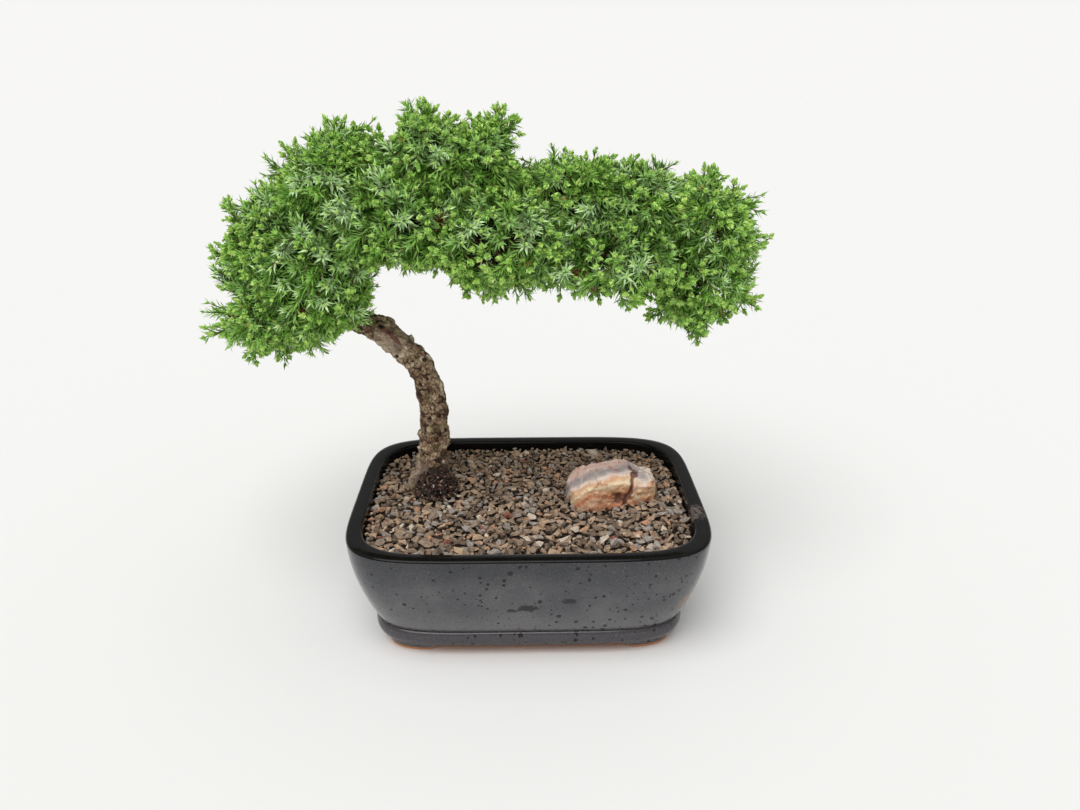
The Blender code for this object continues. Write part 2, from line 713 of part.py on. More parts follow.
def raise_needle(bm, face, centre, along, index, clearance):
    """Draw the middle of a face out to a needle, where there is room for it."""
    middle = np.array(face.calc_center_median())
    across = middle - centre
    across = unit(across - along * (across @ along))
    tip = middle + across * NEEDLE_OUT + along * NEEDLE_FORWARD
    shaft = np.array([middle + (tip - middle) * share for share in (0.5, 1.0)])
    if not in_own_space(index, shaft, NEEDLE_BORDER).all():
        return
    if (clearance.gaps(shaft) < NEEDLE_CLEARANCE).any():
        return
    poked = bmesh.ops.poke(bm, faces=[face])
    poked["verts"][0].co = tip


def core_body(index, clearance):
    """The dense middle of a mass, drawn in from its neighbours and from the limbs."""
    bm = bmesh.new()
    bmesh.ops.create_icosphere(bm, subdivisions=1, radius=1)
    for vert in bm.verts:
        direction = np.array(vert.co)
        limits = (CORE_REACH, CORE_LEAST_REACH, CORE_BORDER)
        point = draw_in(index, direction, *limits, clearance, CORE_CLEARANCE)
        vert.co = CENTRES[index] if point is None else point
    return bm


def keep_largest_body(obj):
    """Drop loose scraps and sealed hollows, and leave the main body in triangles."""
    bm = bmesh.new()
    bm.from_mesh(obj.data)
    unseen = set(bm.faces)
    bodies = []
    while unseen:
        body = [unseen.pop()]
        for face in body:
            for edge in face.edges:
                for other in edge.link_faces:
                    if other in unseen:
                        unseen.remove(other)
                        body.append(other)
        bodies.append(body)
    bodies.sort(key=lambda faces: sum(face.calc_area() for face in faces))
    for body in bodies[:-1]:
        bmesh.ops.delete(bm, geom=body, context="FACES")
    bmesh.ops.triangulate(bm, faces=bm.faces)
    for edge in [edge for edge in bm.edges if len(edge.link_faces) > 2]:
        turn_shared_diagonal(bm, edge)
    bm.to_mesh(obj.data)
    bm.free()


def turn_shared_diagonal(bm, edge):
    """Where four triangles meet at one edge, split one flat pair along its other diagonal."""
    for loop in edge.link_loops:
        p, q = loop.vert, loop.link_loop_next.vert
        b = loop.link_loop_prev.vert
        for other in edge.link_loops:
            d = other.link_loop_prev.vert
            turned = other.vert == q and loop.face.normal.dot(other.face.normal) > 0.999
            if not turned or bm.edges.get((b, d)):
                continue
            normal = loop.face.normal.copy()
            corners = [(p, d, b), (d, q, b)]
            crosses = [(v.co - u.co).cross(w.co - u.co).dot(normal) for u, v, w in corners]
            if min(crosses) > 0:
                bmesh.ops.delete(bm, geom=[loop.face, other.face], context="FACES_ONLY")
                for triangle in corners:
                    bm.faces.new(triangle)
                return


def make_mass(index, mass, bough, clearance, material):
    """One mass of foliage: a stem, shoots that branch from it and a dense core, all fused."""
    start = bough.points[-1] + bough.along[-1] * GAP
    heart = CENTRES[index]
    stem = bezier(start, bough.along[-1], heart - start, heart, STEM_IN_MASS_RINGS)
    radii = np.linspace(bough.radii[-1], TWIG_RADIUS, len(stem))
    stem_limb = Limb(stem, radii, frames_along(stem))
    stem_limb.along[0] = bough.along[-1]
    stem_limb.sides[0] = bough.sides[-1]
    stem_limb.others[0] = bough.others[-1]
    obj = add_object("foliage_" + mass.name, loft(stem_limb.rings(circle(STEM_IN_MASS_SIDES))), material)
    pieces = bpy.data.collections.new(mass.name)
    bpy.context.scene.collection.children.link(pieces)
    paths = plan_shoots(index, mass, stem, clearance)
    bodies = [spray_body(index, path, n * GOLDEN_ANGLE, clearance) for n, path in enumerate(paths)]
    bodies.append(core_body(index, clearance))
    for body in bodies:
        piece = add_object("piece", body)
        bpy.context.scene.collection.objects.unlink(piece)
        pieces.objects.link(piece)
    apply_boolean(obj, "UNION", collection=pieces)
    remove_objects(pieces.objects)
    bpy.data.collections.remove(pieces)
    keep_largest_body(obj)


def stand_on_origin(objects):
    """Move everything so that the origin lies under the middle of the whole."""
    bpy.context.view_layer.update()
    corners = [obj.matrix_world @ vert.co for obj in objects for vert in obj.data.vertices]
    low = [min(corner[k] for corner in corners) for k in range(3)]
    high = [max(corner[k] for corner in corners) for k in range(3)]
    for obj in objects:
        obj.location.x -= (low[0] + high[0]) / 2
        obj.location.y -= (low[1] + high[1]) / 2
        obj.location.z -= low[2]


def main():
    """Build every piece of the bonsai."""
    for obj in list(bpy.data.objects):
        bpy.data.objects.remove(obj)
    bark = make_material("bark", BARK, 0.9)
    needles = make_material("needles", FOLIAGE, 0.6)
    make_pot()
    make_soil()
    make_stone()
    limbs = divide_stem()
    make_stem(limbs, bark)
    boughs = {}
    for index, mass in enumerate(MASSES):
        if mass.station < 1:
            boughs[mass.name] = plan_bough(index, mass, limbs)
            make_bough("bough_" + mass.name, boughs[mass.name], limbs[mass.limb], bark)
        else:
            boughs[mass.name] = limbs[mass.limb]
    clearance = Clearance(list(limbs.values()) + list(boughs.values()))
    for index, mass in enumerate(MASSES):
        make_mass(index, mass, boughs[mass.name], clearance, needles)
    stand_on_origin(bpy.data.objects)


main()
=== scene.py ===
"""The looks of the juniper bonsai: glaze, gravel, rock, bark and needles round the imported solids.

Lengths are in millimetres from the pot's centre at table height, as the solids were drawn, and
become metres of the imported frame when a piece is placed: x runs to the right, y to the back
and z up.
"""

import json
import math
import random
from collections import namedtuple

import bmesh
import bpy
import numpy as np
from mathutils import Matrix, Vector, noise

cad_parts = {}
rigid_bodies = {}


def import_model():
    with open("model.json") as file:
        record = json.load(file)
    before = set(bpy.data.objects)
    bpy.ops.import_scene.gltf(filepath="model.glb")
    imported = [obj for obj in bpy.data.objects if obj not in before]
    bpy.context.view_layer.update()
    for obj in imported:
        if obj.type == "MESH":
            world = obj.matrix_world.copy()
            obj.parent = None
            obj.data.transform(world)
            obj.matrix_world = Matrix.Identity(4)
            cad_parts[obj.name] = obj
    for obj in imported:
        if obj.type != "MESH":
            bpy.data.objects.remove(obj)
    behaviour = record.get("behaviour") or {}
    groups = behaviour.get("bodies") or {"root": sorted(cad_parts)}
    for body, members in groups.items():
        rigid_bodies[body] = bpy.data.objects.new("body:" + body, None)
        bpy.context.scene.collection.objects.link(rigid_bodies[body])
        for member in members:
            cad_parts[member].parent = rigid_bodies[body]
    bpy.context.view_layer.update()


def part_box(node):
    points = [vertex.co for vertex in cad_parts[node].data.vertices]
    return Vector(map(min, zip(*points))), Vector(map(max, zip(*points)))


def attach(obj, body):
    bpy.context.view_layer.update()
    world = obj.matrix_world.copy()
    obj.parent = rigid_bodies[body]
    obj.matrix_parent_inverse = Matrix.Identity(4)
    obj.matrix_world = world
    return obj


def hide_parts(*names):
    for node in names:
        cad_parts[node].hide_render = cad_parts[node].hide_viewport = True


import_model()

MM = 0.001
POT_LOW, POT_HIGH = (np.array(corner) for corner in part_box("pot"))
POT_CENTRE = np.array(((POT_LOW[0] + POT_HIGH[0]) / 2, (POT_LOW[1] + POT_HIGH[1]) / 2, POT_LOW[2]))

# Pot
POT_LENGTH, POT_DEPTH, POT_HEIGHT = (POT_HIGH - POT_LOW) / MM
CORNER_EXPONENT = 5.5
OUTLINE_POINTS = 240
WALL = 8.8
RIM_WIDTH = 8.6
RIM_ROUNDING = 1.8
RIM_CROWN = 0.35
RIM_GLAZE_DEPTH = 1.6
BODY_BASE = 17.2
BODY_INSET = 13.5
BODY_BULGE = 1.8
BODY_LEVELS = 26
GROOVE_HEIGHT = 16.4
GROOVE_INSET = 15.0
BAND_TOP = 15.6
BAND_BASE = 8.0
BAND_INSET = 12.8
BAND_EDGE_INSET = 13.9
FOOT_TOP = 7.6
FOOT_TOP_INSET = 15.6
FOOT_INSET = 20.5
FOOT_WIDTH = 11.0
FOOT_RISE = 6.3
FOOT_FROM_X = (46.0, 60.0)
FOOT_FROM_Y = (28.0, 44.0)
FOOT_EXPONENT = 8.0
BARE_CLAY_HEIGHT = 2.2
SHARP_EDGE = 50.0
UNDERSIDE = 7.0
FLOOR = 15.5
FLOOR_INSET = 25.0
DRAIN_HOLE_DIAMETER = 12.0
DRAIN_HOLE_X = 35.0

# Gravel and soil
SOIL_TOP = 65.0
SOIL_CLEARANCE = 0.4
BED_DEPTH = 3.2
BED_INSET = WALL + 0.6
MOUND_HEIGHT = 1.8
MOUND_WIDTH = 13.0
GRAIN_SIZES = (2.0, 7.0)
GRAIN_SPACING = 0.385
GRAIN_TRIES = 24000
GRAIN_SPREAD = (1.7, 3.4)
GRAVEL_SEED = 11
PEBBLES = {"count": 14, "corners": 10, "proportions": (1.18, 0.80, 0.50)}
PEBBLE_TILT = 0.5
LARGE_GRAINS = (  # place, size and which of the gravel's tints
    (20.0, -48.5, 9.5, 5),
    (41.0, -52.5, 9.0, 5),
    (66.0, -50.0, 7.5, 4),
    (44.0, 66.0, 10.0, 5),
    (-8.0, 66.0, 9.5, 2),
    (20.0, 61.0, 7.0, 0),
    (-38.0, -61.0, 9.0, 2),
    (-56.0, -56.0, 9.0, 0),
    (-74.0, -40.0, 8.0, 2),
    (78.0, -22.0, 7.0, 4),
)
LARGE_LIFT = 0.14
LAYER_DEPTH = 1.2
WAVE_HEIGHT = 0.8
WAVE_LENGTH = 24
PALE_PATCH = (-53.0, -6.0)
PALE_REACH = 17.0
CRUMB_PATCH = (-56.5, 11.5)
CRUMB_HEAP = (12.0, 14.5, 14.0)
CRUMBS = 1500
CRUMB_SEED = 5
CRUMB_SIZES = (0.9, 3.2)
CRUMB_SHAPES = {"count": 5, "corners": 8, "proportions": (1.0, 0.7, 0.5)}
CRUMB_TILT = 0.8

# Rock
STONE_CENTRE = (48.0, 0.0)
STONE_SIZE = (46.0, 27.0, 19.0)
STONE_TURN = 16.0
STONE_CUTS = (
    (0.62, (-0.75, -0.1, 0.65)),
    (0.72, (0.1, -0.8, 0.6)),
    (0.74, (-0.05, 0.7, 0.7)),
    (0.80, (0.62, 0.12, 0.78)),
    (0.80, (-0.8, -0.6, 0.0)),
    (0.84, (-0.7, 0.7, 0.15)),
    (0.86, (0.1, -0.97, -0.2)),
)
STONE_END_SIZE = (19.0, 20.0, 15.0)
STONE_END_OFFSET = (19.0, -1.0)
STONE_END_CUTS = (
    (0.70, (0.7, -0.3, 0.65)),
    (0.72, (0.8, 0.6, 0.1)),
    (0.74, (0.75, -0.66, 0.1)),
    (0.80, (0.1, 0.7, 0.7)),
)
STONE_VOXEL = 0.5
STONE_SUNK = 2.5
STONE_LIFT = 0.3
STONE_CREASE = 7.0
STONE_CREASE_LEAN = 0.35
STONE_END_DROP = 2.0

# Stem
STEM_AXIS = (
    (-62.0, 24.0, SOIL_TOP + 0.3),
    (-58.2, 24.0, 88.0),
    (-57.2, 24.0, 112.0),
    (-64.0, 23.0, 141.0),
    (-83.0, 22.0, 161.5),
    (-104.0, 24.0, 173.5),
    (-116.0, 27.0, 190.0),
    (-111.0, 29.0, 206.0),
    (-93.0, 28.0, 212.0),
    (-50.0, 26.0, 208.0),
    (-22.0, 26.0, 211.5),
    (5.0, 26.0, 215.0),
    (40.0, 25.0, 213.5),
    (84.0, 24.0, 207.0),
)
STEM_LIMBS = {"trunk": (0, 5), "crook": (5, 7), "leader_inner": (7, 10), "leader_outer": (10, 13)}
STEM_ROOT_RADIUS = 9.4
STEM_TIP_RADIUS = 2.8
SOURCE_STEPS = 3
STEM_LUMPS = 0.08
LUMP_LENGTH = 11.0
FLARE = 0.6
FLARE_HEIGHT = 7.0
ROOTS = (  # angle round the foot, how far out, how high, and how sharp
    (229.0, 8.5, 12.0, 34),
    (322.0, 4.0, 7.0, 9),
    (80.0, 5.0, 7.0, 9),
    (150.0, 4.0, 7.0, 9),
)
STEM_SUNK = 3.0
STEM_SIDES = 104
STEM_RING_STEP = 0.64
BARK_SHIFT = 37.0
FLAKE_SIZE = 4.0
FLAKE_STRETCH = 0.75
FLAKE_SEED = 7  # noise_vector differs from run to run without one
KNOTS = (  # how far along the stem, angle round it, size
    (12, 0.5, 3.2), (27, 4.0, 2.6), (40, 5.6, 3.4), (49, 4.5, 2.8), (58, 0.3, 3.0), (65, 3.7, 2.6),
    (72, 4.4, 3.2), (74, 5.0, 2.4), (84, 5.5, 2.6), (91, 6.0, 2.4), (96, 4.2, 3.0), (103, 3.2, 2.6),
    (113, 5.4, 3.4), (122, 4.6, 3.2), (130, 4.4, 3.6), (142, 5.9, 2.8), (149, 3.9, 2.4),
    (161, 4.9, 3.0),
)  # fmt: skip

# Boughs
BOUGH_SHARE = 0.62
BOUGH_MOST_RADIUS = 3.6
BOUGH_TAPER = 0.6
BOUGH_LEAST_TIP = 1.6
BOUGH_LEAST_LENGTH = 7.0
BOUGH_LEAN = 0.35
BOUGH_STEP = 1.0
BOUGH_END_REACH = 0.74
BOUGH_POINTS = 5
BOUGH_SIDES = 24
BOUGH_RINGS = 26

# Foliage: each mass keeps to an ellipsoid, and the nearest mass has each place
Mass = namedtuple("Mass", "name centre radii limb station")
MASSES = (
    Mass("low_left", (-148, 16, 179), (43, 44, 35), "crook", 0.12),
    Mass("inner_front", (-114, -4, 198), (34, 32, 35), "trunk", 0.93),
    Mass("left_shoulder", (-146, 28, 217), (40, 44, 38), "crook", 0.80),
    Mass("back_left", (-108, 66, 216), (48, 34, 36), "crook", 0.5),
    Mass("upper_left", (-108, 24, 248), (38, 46, 36), "leader_inner", 0.06),
    Mass("brow", (-68, -6, 230), (40, 28, 29), "leader_inner", 0.33),
    Mass("top", (-58, 22, 254), (39, 44, 37), "leader_inner", 0.5),
    Mass("top_right", (-22, 28, 254), (27, 38, 36), "leader_inner", 0.8),
    Mass("arm_front", (-19, -6, 218), (43, 34, 30), "leader_inner", 0.92),
    Mass("arm_back", (-16, 66, 228), (52, 34, 33), "leader_outer", 0.06),
    Mass("arm_crest", (24, 26, 238), (40, 40, 30), "leader_outer", 0.3),
    Mass("right_front", (42, -2, 208), (43, 38, 26), "leader_outer", 0.45),
    Mass("right_crest", (66, 22, 236), (34, 40, 27), "leader_outer", 0.68),
    Mass("right_back", (60, 66, 222), (40, 30, 32), "leader_outer", 0.56),
    Mass("right_low", (101, 12, 190), (36, 36, 34), "leader_outer", 0.9),
    Mass("right_far", (106, 26, 224), (33, 46, 36), "leader_outer", 1.0),
)
CENTRES = np.array([mass.centre for mass in MASSES], float)
RADII = np.array([mass.radii for mass in MASSES], float)

# The crown as it shows from the front, in the plane of the trunk: x and z
FRONT_PLANE = 24.0
CROWN_OUTLINE = np.array(
    (
        (-66, 283), (-55, 284), (-44, 278), (-28, 276), (-16, 284), (-9, 277), (-11, 263), (-5, 255),
        (10, 255), (14, 264), (20, 259), (42, 258), (64, 256), (76, 252), (84, 244), (101, 250),
        (109, 244), (122, 238), (126, 228), (131, 213), (124, 204), (126, 192), (128, 181), (113, 175),
        (111, 166), (98, 162), (86, 170), (77, 175), (80, 186), (68, 184), (60, 178), (50, 187),
        (27, 188), (16, 197), (5, 189), (-4, 194), (-17, 187), (-32, 190), (-46, 201), (-62, 201),
        (-84, 206), (-93, 197), (-91, 187), (-96, 175), (-105, 167), (-120, 154), (-146, 154),
        (-160, 150), (-170, 161), (-181, 163), (-173, 171), (-166, 183), (-169, 197), (-172, 210),
        (-163, 231), (-150, 240), (-136, 249), (-128, 261), (-106, 276), (-92, 274), (-79, 267),
        (-68, 275),
    ),
    float,
)  # fmt: skip
FINGERS = (  # tips of shoots that stand out from the outline
    (-64, 288), (-54, 286), (-42, 281), (-29, 280), (-15, 287), (-8, 279), (14, 268), (21, 262),
    (43, 261), (57, 260), (75, 256), (92, 250), (103, 253), (117, 244), (126, 236), (137, 214),
    (130, 197), (133, 180), (114, 172), (101, 158), (73, 171), (60, 174), (40, 185), (14, 190),
    (0, 187), (-19, 183), (-35, 188), (-97, 170), (-118, 149), (-145, 150), (-163, 147), (-187, 162),
    (-181, 176), (-171, 190), (-175, 198), (-178, 210), (-167, 236), (-149, 242), (-138, 256),
    (-130, 265), (-117, 270), (-104, 280), (-92, 277), (-83, 274),
)  # fmt: skip
OUTLINE_DEPTH = 2.5
FINGER_MOST_REACH = 1.08

TWIG_BORDER = -0.02
BARE_STEM_SHARE = 0.3
GOLDEN_ANGLE = math.pi * (3 - math.sqrt(5))
TWIG_CLEARANCE = 1.2
TARGET_CLEARANCE = 4.2
SHOOT_LIFT = 0.9
SHOOT_FOLLOW = 0.5
SHOOT_TURN_COST = 1.7
SHOOT_POINTS = 9
REACH_STEP = 0.04
SCAFFOLDS = 14
SCAFFOLD_REACH = (0.45, 0.62)
FILLERS = 30
FILLER_REACH = (0.45, 0.72)
SPRAY_AREA = 142.0
SPRAY_REACH = (0.83, 0.97)
SWELL = 0.36
SWELL_LENGTH = 0.55
MOST_REACH = 1.02
LEAST_REACH = 0.58
OUTER_REACH = 1.10
SIDE_REACH = OUTER_REACH - 0.04
SPRAY_LENGTH = 29.0
SPRAY_MOST_SHARE = 0.8
FRESH_SHARE = 0.34
EDGE_FRESH_SHARE = 0.72
BUD_SHARE = 0.15
EDGE_DEPTH = 13.0
# Sprays whose tips lie nearer the mass's middle than this, and deep inside the outline, take darker tints as
# painted shade.
SUNK_REACH = 0.78
AXIS_POINTS = 8
SIDE_SHOOTS = 5
SIDE_POINTS = 3
NEEDLE_WIDTH = 1.22
SCALE_WIDTH = 0.78
LEAF_CLEARANCE = 0.2
LIMB_RADII = (1.3, 0.7)  # of a twig at its start and its end, and so on
FILLER_RADII = (0.8, 0.5)
SPRAY_RADII = (0.8, 0.4)
SHOOT_RADII = (0.5, 0.3)
FOLIAGE_SEED = 100

# Camera
CAMERA_PLACE = (-4.7, -493.0, 315.8)
CAMERA_PITCH = 21.18
CAMERA_YAW = 1.36
CAMERA_ROLL = 0.09
CAMERA_LENS = 30.27
SENSOR_WIDTH = 36.0

# Light: how bright the sky is by the height of its direction, and a wide soft sun
SKY_LEVELS = ((0.04, 0.935), (0.3, 0.26), (1.0, 0.76))
SKY_TINT = (1.0, 0.994, 0.984)
SUN_PLACE = (-0.25, -0.5, 1.0)
SUN_STRENGTH = 2.1
SUN_WIDTH = 50.0
FLOOR_SIZE = 6.0


# Pieces


def to_frame(points):
    """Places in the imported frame, in metres, of points in millimetres from the pot's centre."""
    return np.asarray(points, float) * MM + POT_CENTRE


def to_mesh(bm, name):
    """A mesh with the bmesh's shape, as it stands."""
    mesh = bpy.data.meshes.new(name)
    bm.to_mesh(mesh)
    bm.free()
    return mesh


def mesh_of(bm):
    """A smooth-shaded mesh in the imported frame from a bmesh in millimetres."""
    bmesh.ops.recalc_face_normals(bm, faces=bm.faces)
    bmesh.ops.scale(bm, vec=(MM, MM, MM), verts=bm.verts)
    bmesh.ops.translate(bm, vec=POT_CENTRE, verts=bm.verts)
    mesh = to_mesh(bm, "piece")
    mesh.shade_smooth()
    return mesh


def join(whole, bm):
    """Add one bmesh's shape to another."""
    spare = to_mesh(bm, "spare")
    whole.from_mesh(spare)
    bpy.data.meshes.remove(spare)


def add_object(name, data):
    """A new object in the scene."""
    obj = bpy.data.objects.new(name, data)
    bpy.context.scene.collection.objects.link(obj)
    return obj


def set_piece(name, mesh, materials, nodes=()):
    """A piece of the plant or pot from its mesh, which stands for the solids that are named."""
    obj = add_object(name, mesh)
    mesh.name = name
    for material in materials:
        mesh.materials.append(material)
    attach(obj, "root")
    if nodes:
        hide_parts(*nodes)
    return obj


def apply_modifiers(obj):
    """Make what the object's modifiers show its own mesh."""
    bpy.context.view_layer.update()
    evaluated = obj.evaluated_get(bpy.context.evaluated_depsgraph_get())
    mesh = bpy.data.meshes.new_from_object(evaluated)
    obj.modifiers.clear()
    obj.data = mesh


def put(verts, places):
    """Move vertices to their places."""
    for vert, place in zip(verts, places):
        vert.co = place


def face_rank(face):
    """Puts faces in the order of their vertices: extruding leaves them in none that lasts."""
    numbers = [vert.index for vert in face.verts]
    return max(numbers) * 1e6 + min(numbers)


def loft(rings):
    """A closed body through rings of equally many points."""
    bm = bmesh.new()
    ring = bmesh.ops.create_circle(bm, cap_ends=True, segments=len(rings[0]), radius=1)["verts"]
    put(ring, rings[0])
    for places in rings[1:]:
        edges = [bm.edges.get(ends) for ends in zip(ring, ring[1:] + ring[:1])]
        made = set(bmesh.ops.extrude_edge_only(bm, edges=edges)["geom"])
        ring = [next(o for e in vert.link_edges if (o := e.other_vert(vert)) in made) for vert in ring]
        put(ring, places)
    bm.faces.new(ring)
    bm.verts.index_update()
    bm.faces.sort(key=face_rank)
    return bm


def add_numbers(mesh, names, rows):
    """Store numbers from 0 to 1 with the mesh's points, for its material: one row for each point."""
    for name, values in zip(names, np.clip(rows, 0, 1).T):
        mesh.attributes.new(name, "FLOAT", "POINT").data.foreach_set("value", values.astype(np.float32))


class Heap:
    """Many small closed shapes, gathered from arrays into one mesh of triangles."""

    def __init__(self):
        self.points = []
        self.triangles = []
        self.tints = []
        self.count = 0

    def add(self, points, triangles, tints):
        """Add shapes: (n, p, 3) points, one (f, 3) list of triangles for all, and (n, f) tints."""
        n, p = points.shape[:2]
        starts = self.count + p * np.arange(n)
        self.points.append(points.reshape(-1, 3))
        self.triangles.append((triangles[None] + starts[:, None, None]).reshape(-1, 3))
        self.tints.append(np.broadcast_to(tints, (n, len(triangles))).reshape(-1))
        self.count += n * p

    def mesh(self):
        """The mesh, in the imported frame, flat-shaded."""
        mesh = bpy.data.meshes.new("heap")
        points = to_frame(np.concatenate(self.points))
        mesh.from_pydata(points, [], np.concatenate(self.triangles))
        mesh.polygons.foreach_set("material_index", np.concatenate(self.tints).astype(np.int32))
        mesh.update()
        return mesh


def hull_shape(corners):
    """Points and outward triangles of the convex hull of a few corners."""
    bm = bmesh.new()
    for corner in corners:
        bm.verts.new(corner)
    hull = bmesh.ops.convex_hull(bm, input=bm.verts)
    loose = [item for item in hull["geom_interior"] if isinstance(item, bmesh.types.BMVert)]
    bmesh.ops.delete(bm, geom=loose, context="VERTS")
    bmesh.ops.triangulate(bm, faces=bm.faces)
    bmesh.ops.recalc_face_normals(bm, faces=bm.faces)
    bm.verts.index_update()
    points = np.array([vert.co for vert in bm.verts])
    triangles = np.array([[vert.index for vert in face.verts] for face in bm.faces])
    bm.free()
    return points, triangles


# Finishes


class Finish:
    """A material under construction, whose patterns read Object coordinates."""

    def __init__(self, name, roughness, specular=0.5):
        self.material = bpy.data.materials.new(name)
        self.material.use_nodes = True
        self.tree = self.material.node_tree
        self.shader = self.tree.nodes["Principled BSDF"]
        self.shader.inputs["Roughness"].default_value = roughness
        self.shader.inputs["Specular IOR Level"].default_value = specular
        self.place = self.node("TexCoord", "Object")

    def node(self, kind, output, inputs=None, **settings):
        """An output of a new node that has the settings, and what its inputs are fed."""
        node = self.tree.nodes.new("ShaderNode" + kind)
        for name, value in settings.items():
            setattr(node, name, value)
        for socket, value in (inputs or {}).items():
            self.feed(node.inputs[socket], value)
        return node.outputs[output]

    def feed(self, socket, value):
        """Give a socket another node's output, or a number or colour."""
        if isinstance(value, bpy.types.NodeSocket):
            self.tree.links.new(value, socket)
        elif socket.type == "RGBA":
            socket.default_value = (*value, 1.0)
        else:
            socket.default_value = value

    def colour(self, value):
        """Give the surface its colour."""
        self.last = value
        self.feed(self.shader.inputs["Base Color"], value)

    def coat(self, colour, pattern, span=None, strength=1.0):
        """Lay a colour over the last, by a pattern from 0 to 1 or by a span of its values."""
        share = self.step(pattern, *span) if span else pattern
        if strength < 1:
            share = self.times(share, strength)
        inputs = {0: share, 6: self.last, 7: colour}
        self.colour(self.node("Mix", 2, inputs, data_type="RGBA"))

    def grain(self, size, detail=2.0, roughness=0.5, distortion=0.0, stretch=None):
        """Noise from 0 to 1 with features of about a size in millimetres."""
        place = self.place
        if stretch:
            place = self.node("Mapping", "Vector", {"Vector": place, "Scale": stretch})
        inputs = {"Vector": place, "Scale": 1 / (size * MM), "Detail": detail}
        inputs |= {"Roughness": roughness, "Distortion": distortion}
        return self.node("TexNoise", "Fac", inputs)

    def cells(self, size, output="Distance", feature="F1", place=None):
        """Distance to the nearest of scattered points, or another output of that pattern."""
        inputs = {"Vector": place or self.place, "Scale": 1 / (size * MM)}
        return self.node("TexVoronoi", output, inputs, feature=feature)

    def warped(self, size, amount):
        """Object coordinates pushed about by up to an amount in millimetres."""
        waves = self.node("TexNoise", "Color", {"Vector": self.place, "Scale": 1 / (size * MM)})
        inputs = {0: waves, 1: [2 * amount * MM] * 3, 2: self.place}
        return self.node("VectorMath", "Vector", inputs, operation="MULTIPLY_ADD")

    def attribute(self, name):
        """A number stored with the mesh's points."""
        return self.node("Attribute", "Fac", attribute_name=name)

    def part(self, vector, axis):
        """One part of a vector or colour."""
        return self.node("SeparateXYZ", axis, {0: vector})

    def height(self):
        """Height above the table in millimetres."""
        return self.maths("DIVIDE", self.part(self.place, 2), MM)

    def maths(self, operation, a, b):
        """What an operation makes of two values."""
        return self.node("Math", 0, {0: a, 1: b}, operation=operation)

    def times(self, a, b):
        """One value times another."""
        return self.maths("MULTIPLY", a, b)

    def total(self, first, *others):
        """The sum of values."""
        for other in others:
            first = self.maths("ADD", first, other)
        return first

    def step(self, value, start, end):
        """0 before start and 1 after end."""
        inputs = {"Value": value, "From Min": min(start, end), "From Max": max(start, end)}
        inputs |= {"To Min": float(start > end), "To Max": float(start < end)}
        return self.node("MapRange", "Result", inputs, interpolation_type="SMOOTHSTEP")

    def near(self, place, reach, stretch=(1, 1, 1), fall=0.0):
        """1 at a place in millimetres, falling to 0 at its reach, which the stretch divides.

        The stretch's first axis may fall to the right by so many degrees.
        """
        away = self.node("VectorMath", 0, {0: self.place, 1: to_frame(place)}, operation="SUBTRACT")
        inputs = {"Vector": away, "Angle": math.radians(-fall)}
        away = self.node("VectorRotate", 0, inputs, rotation_type="Y_AXIS")
        away = self.node("VectorMath", 0, {0: away, 1: stretch}, operation="MULTIPLY")
        length = self.node("VectorMath", "Value", {0: away}, operation="LENGTH")
        return self.step(length, reach * MM, 0.0)

    def blot(self, pattern, *spot):
        """What is near a spot, broken up by a pattern."""
        return self.times(self.near(*spot), pattern)

    def blend(self, share, *colours):
        """Colours spread evenly over the share from 0 to 1."""
        node = self.tree.nodes.new("ShaderNodeValToRGB")
        ramp = node.color_ramp
        while len(ramp.elements) < len(colours):
            ramp.elements.new(0.5)
        for i, colour in enumerate(colours):
            ramp.elements[i].position = i / (len(colours) - 1)
            ramp.elements[i].color = (*colour, 1.0)
        self.feed(node.inputs[0], share)
        return node.outputs[0]

    def bump(self, height, depth):
        """Relief from a height of 0 to 1, of a depth in millimetres."""
        relief = self.node("Bump", "Normal", {"Distance": depth * MM, "Height": height})
        self.feed(self.shader.inputs["Normal"], relief)


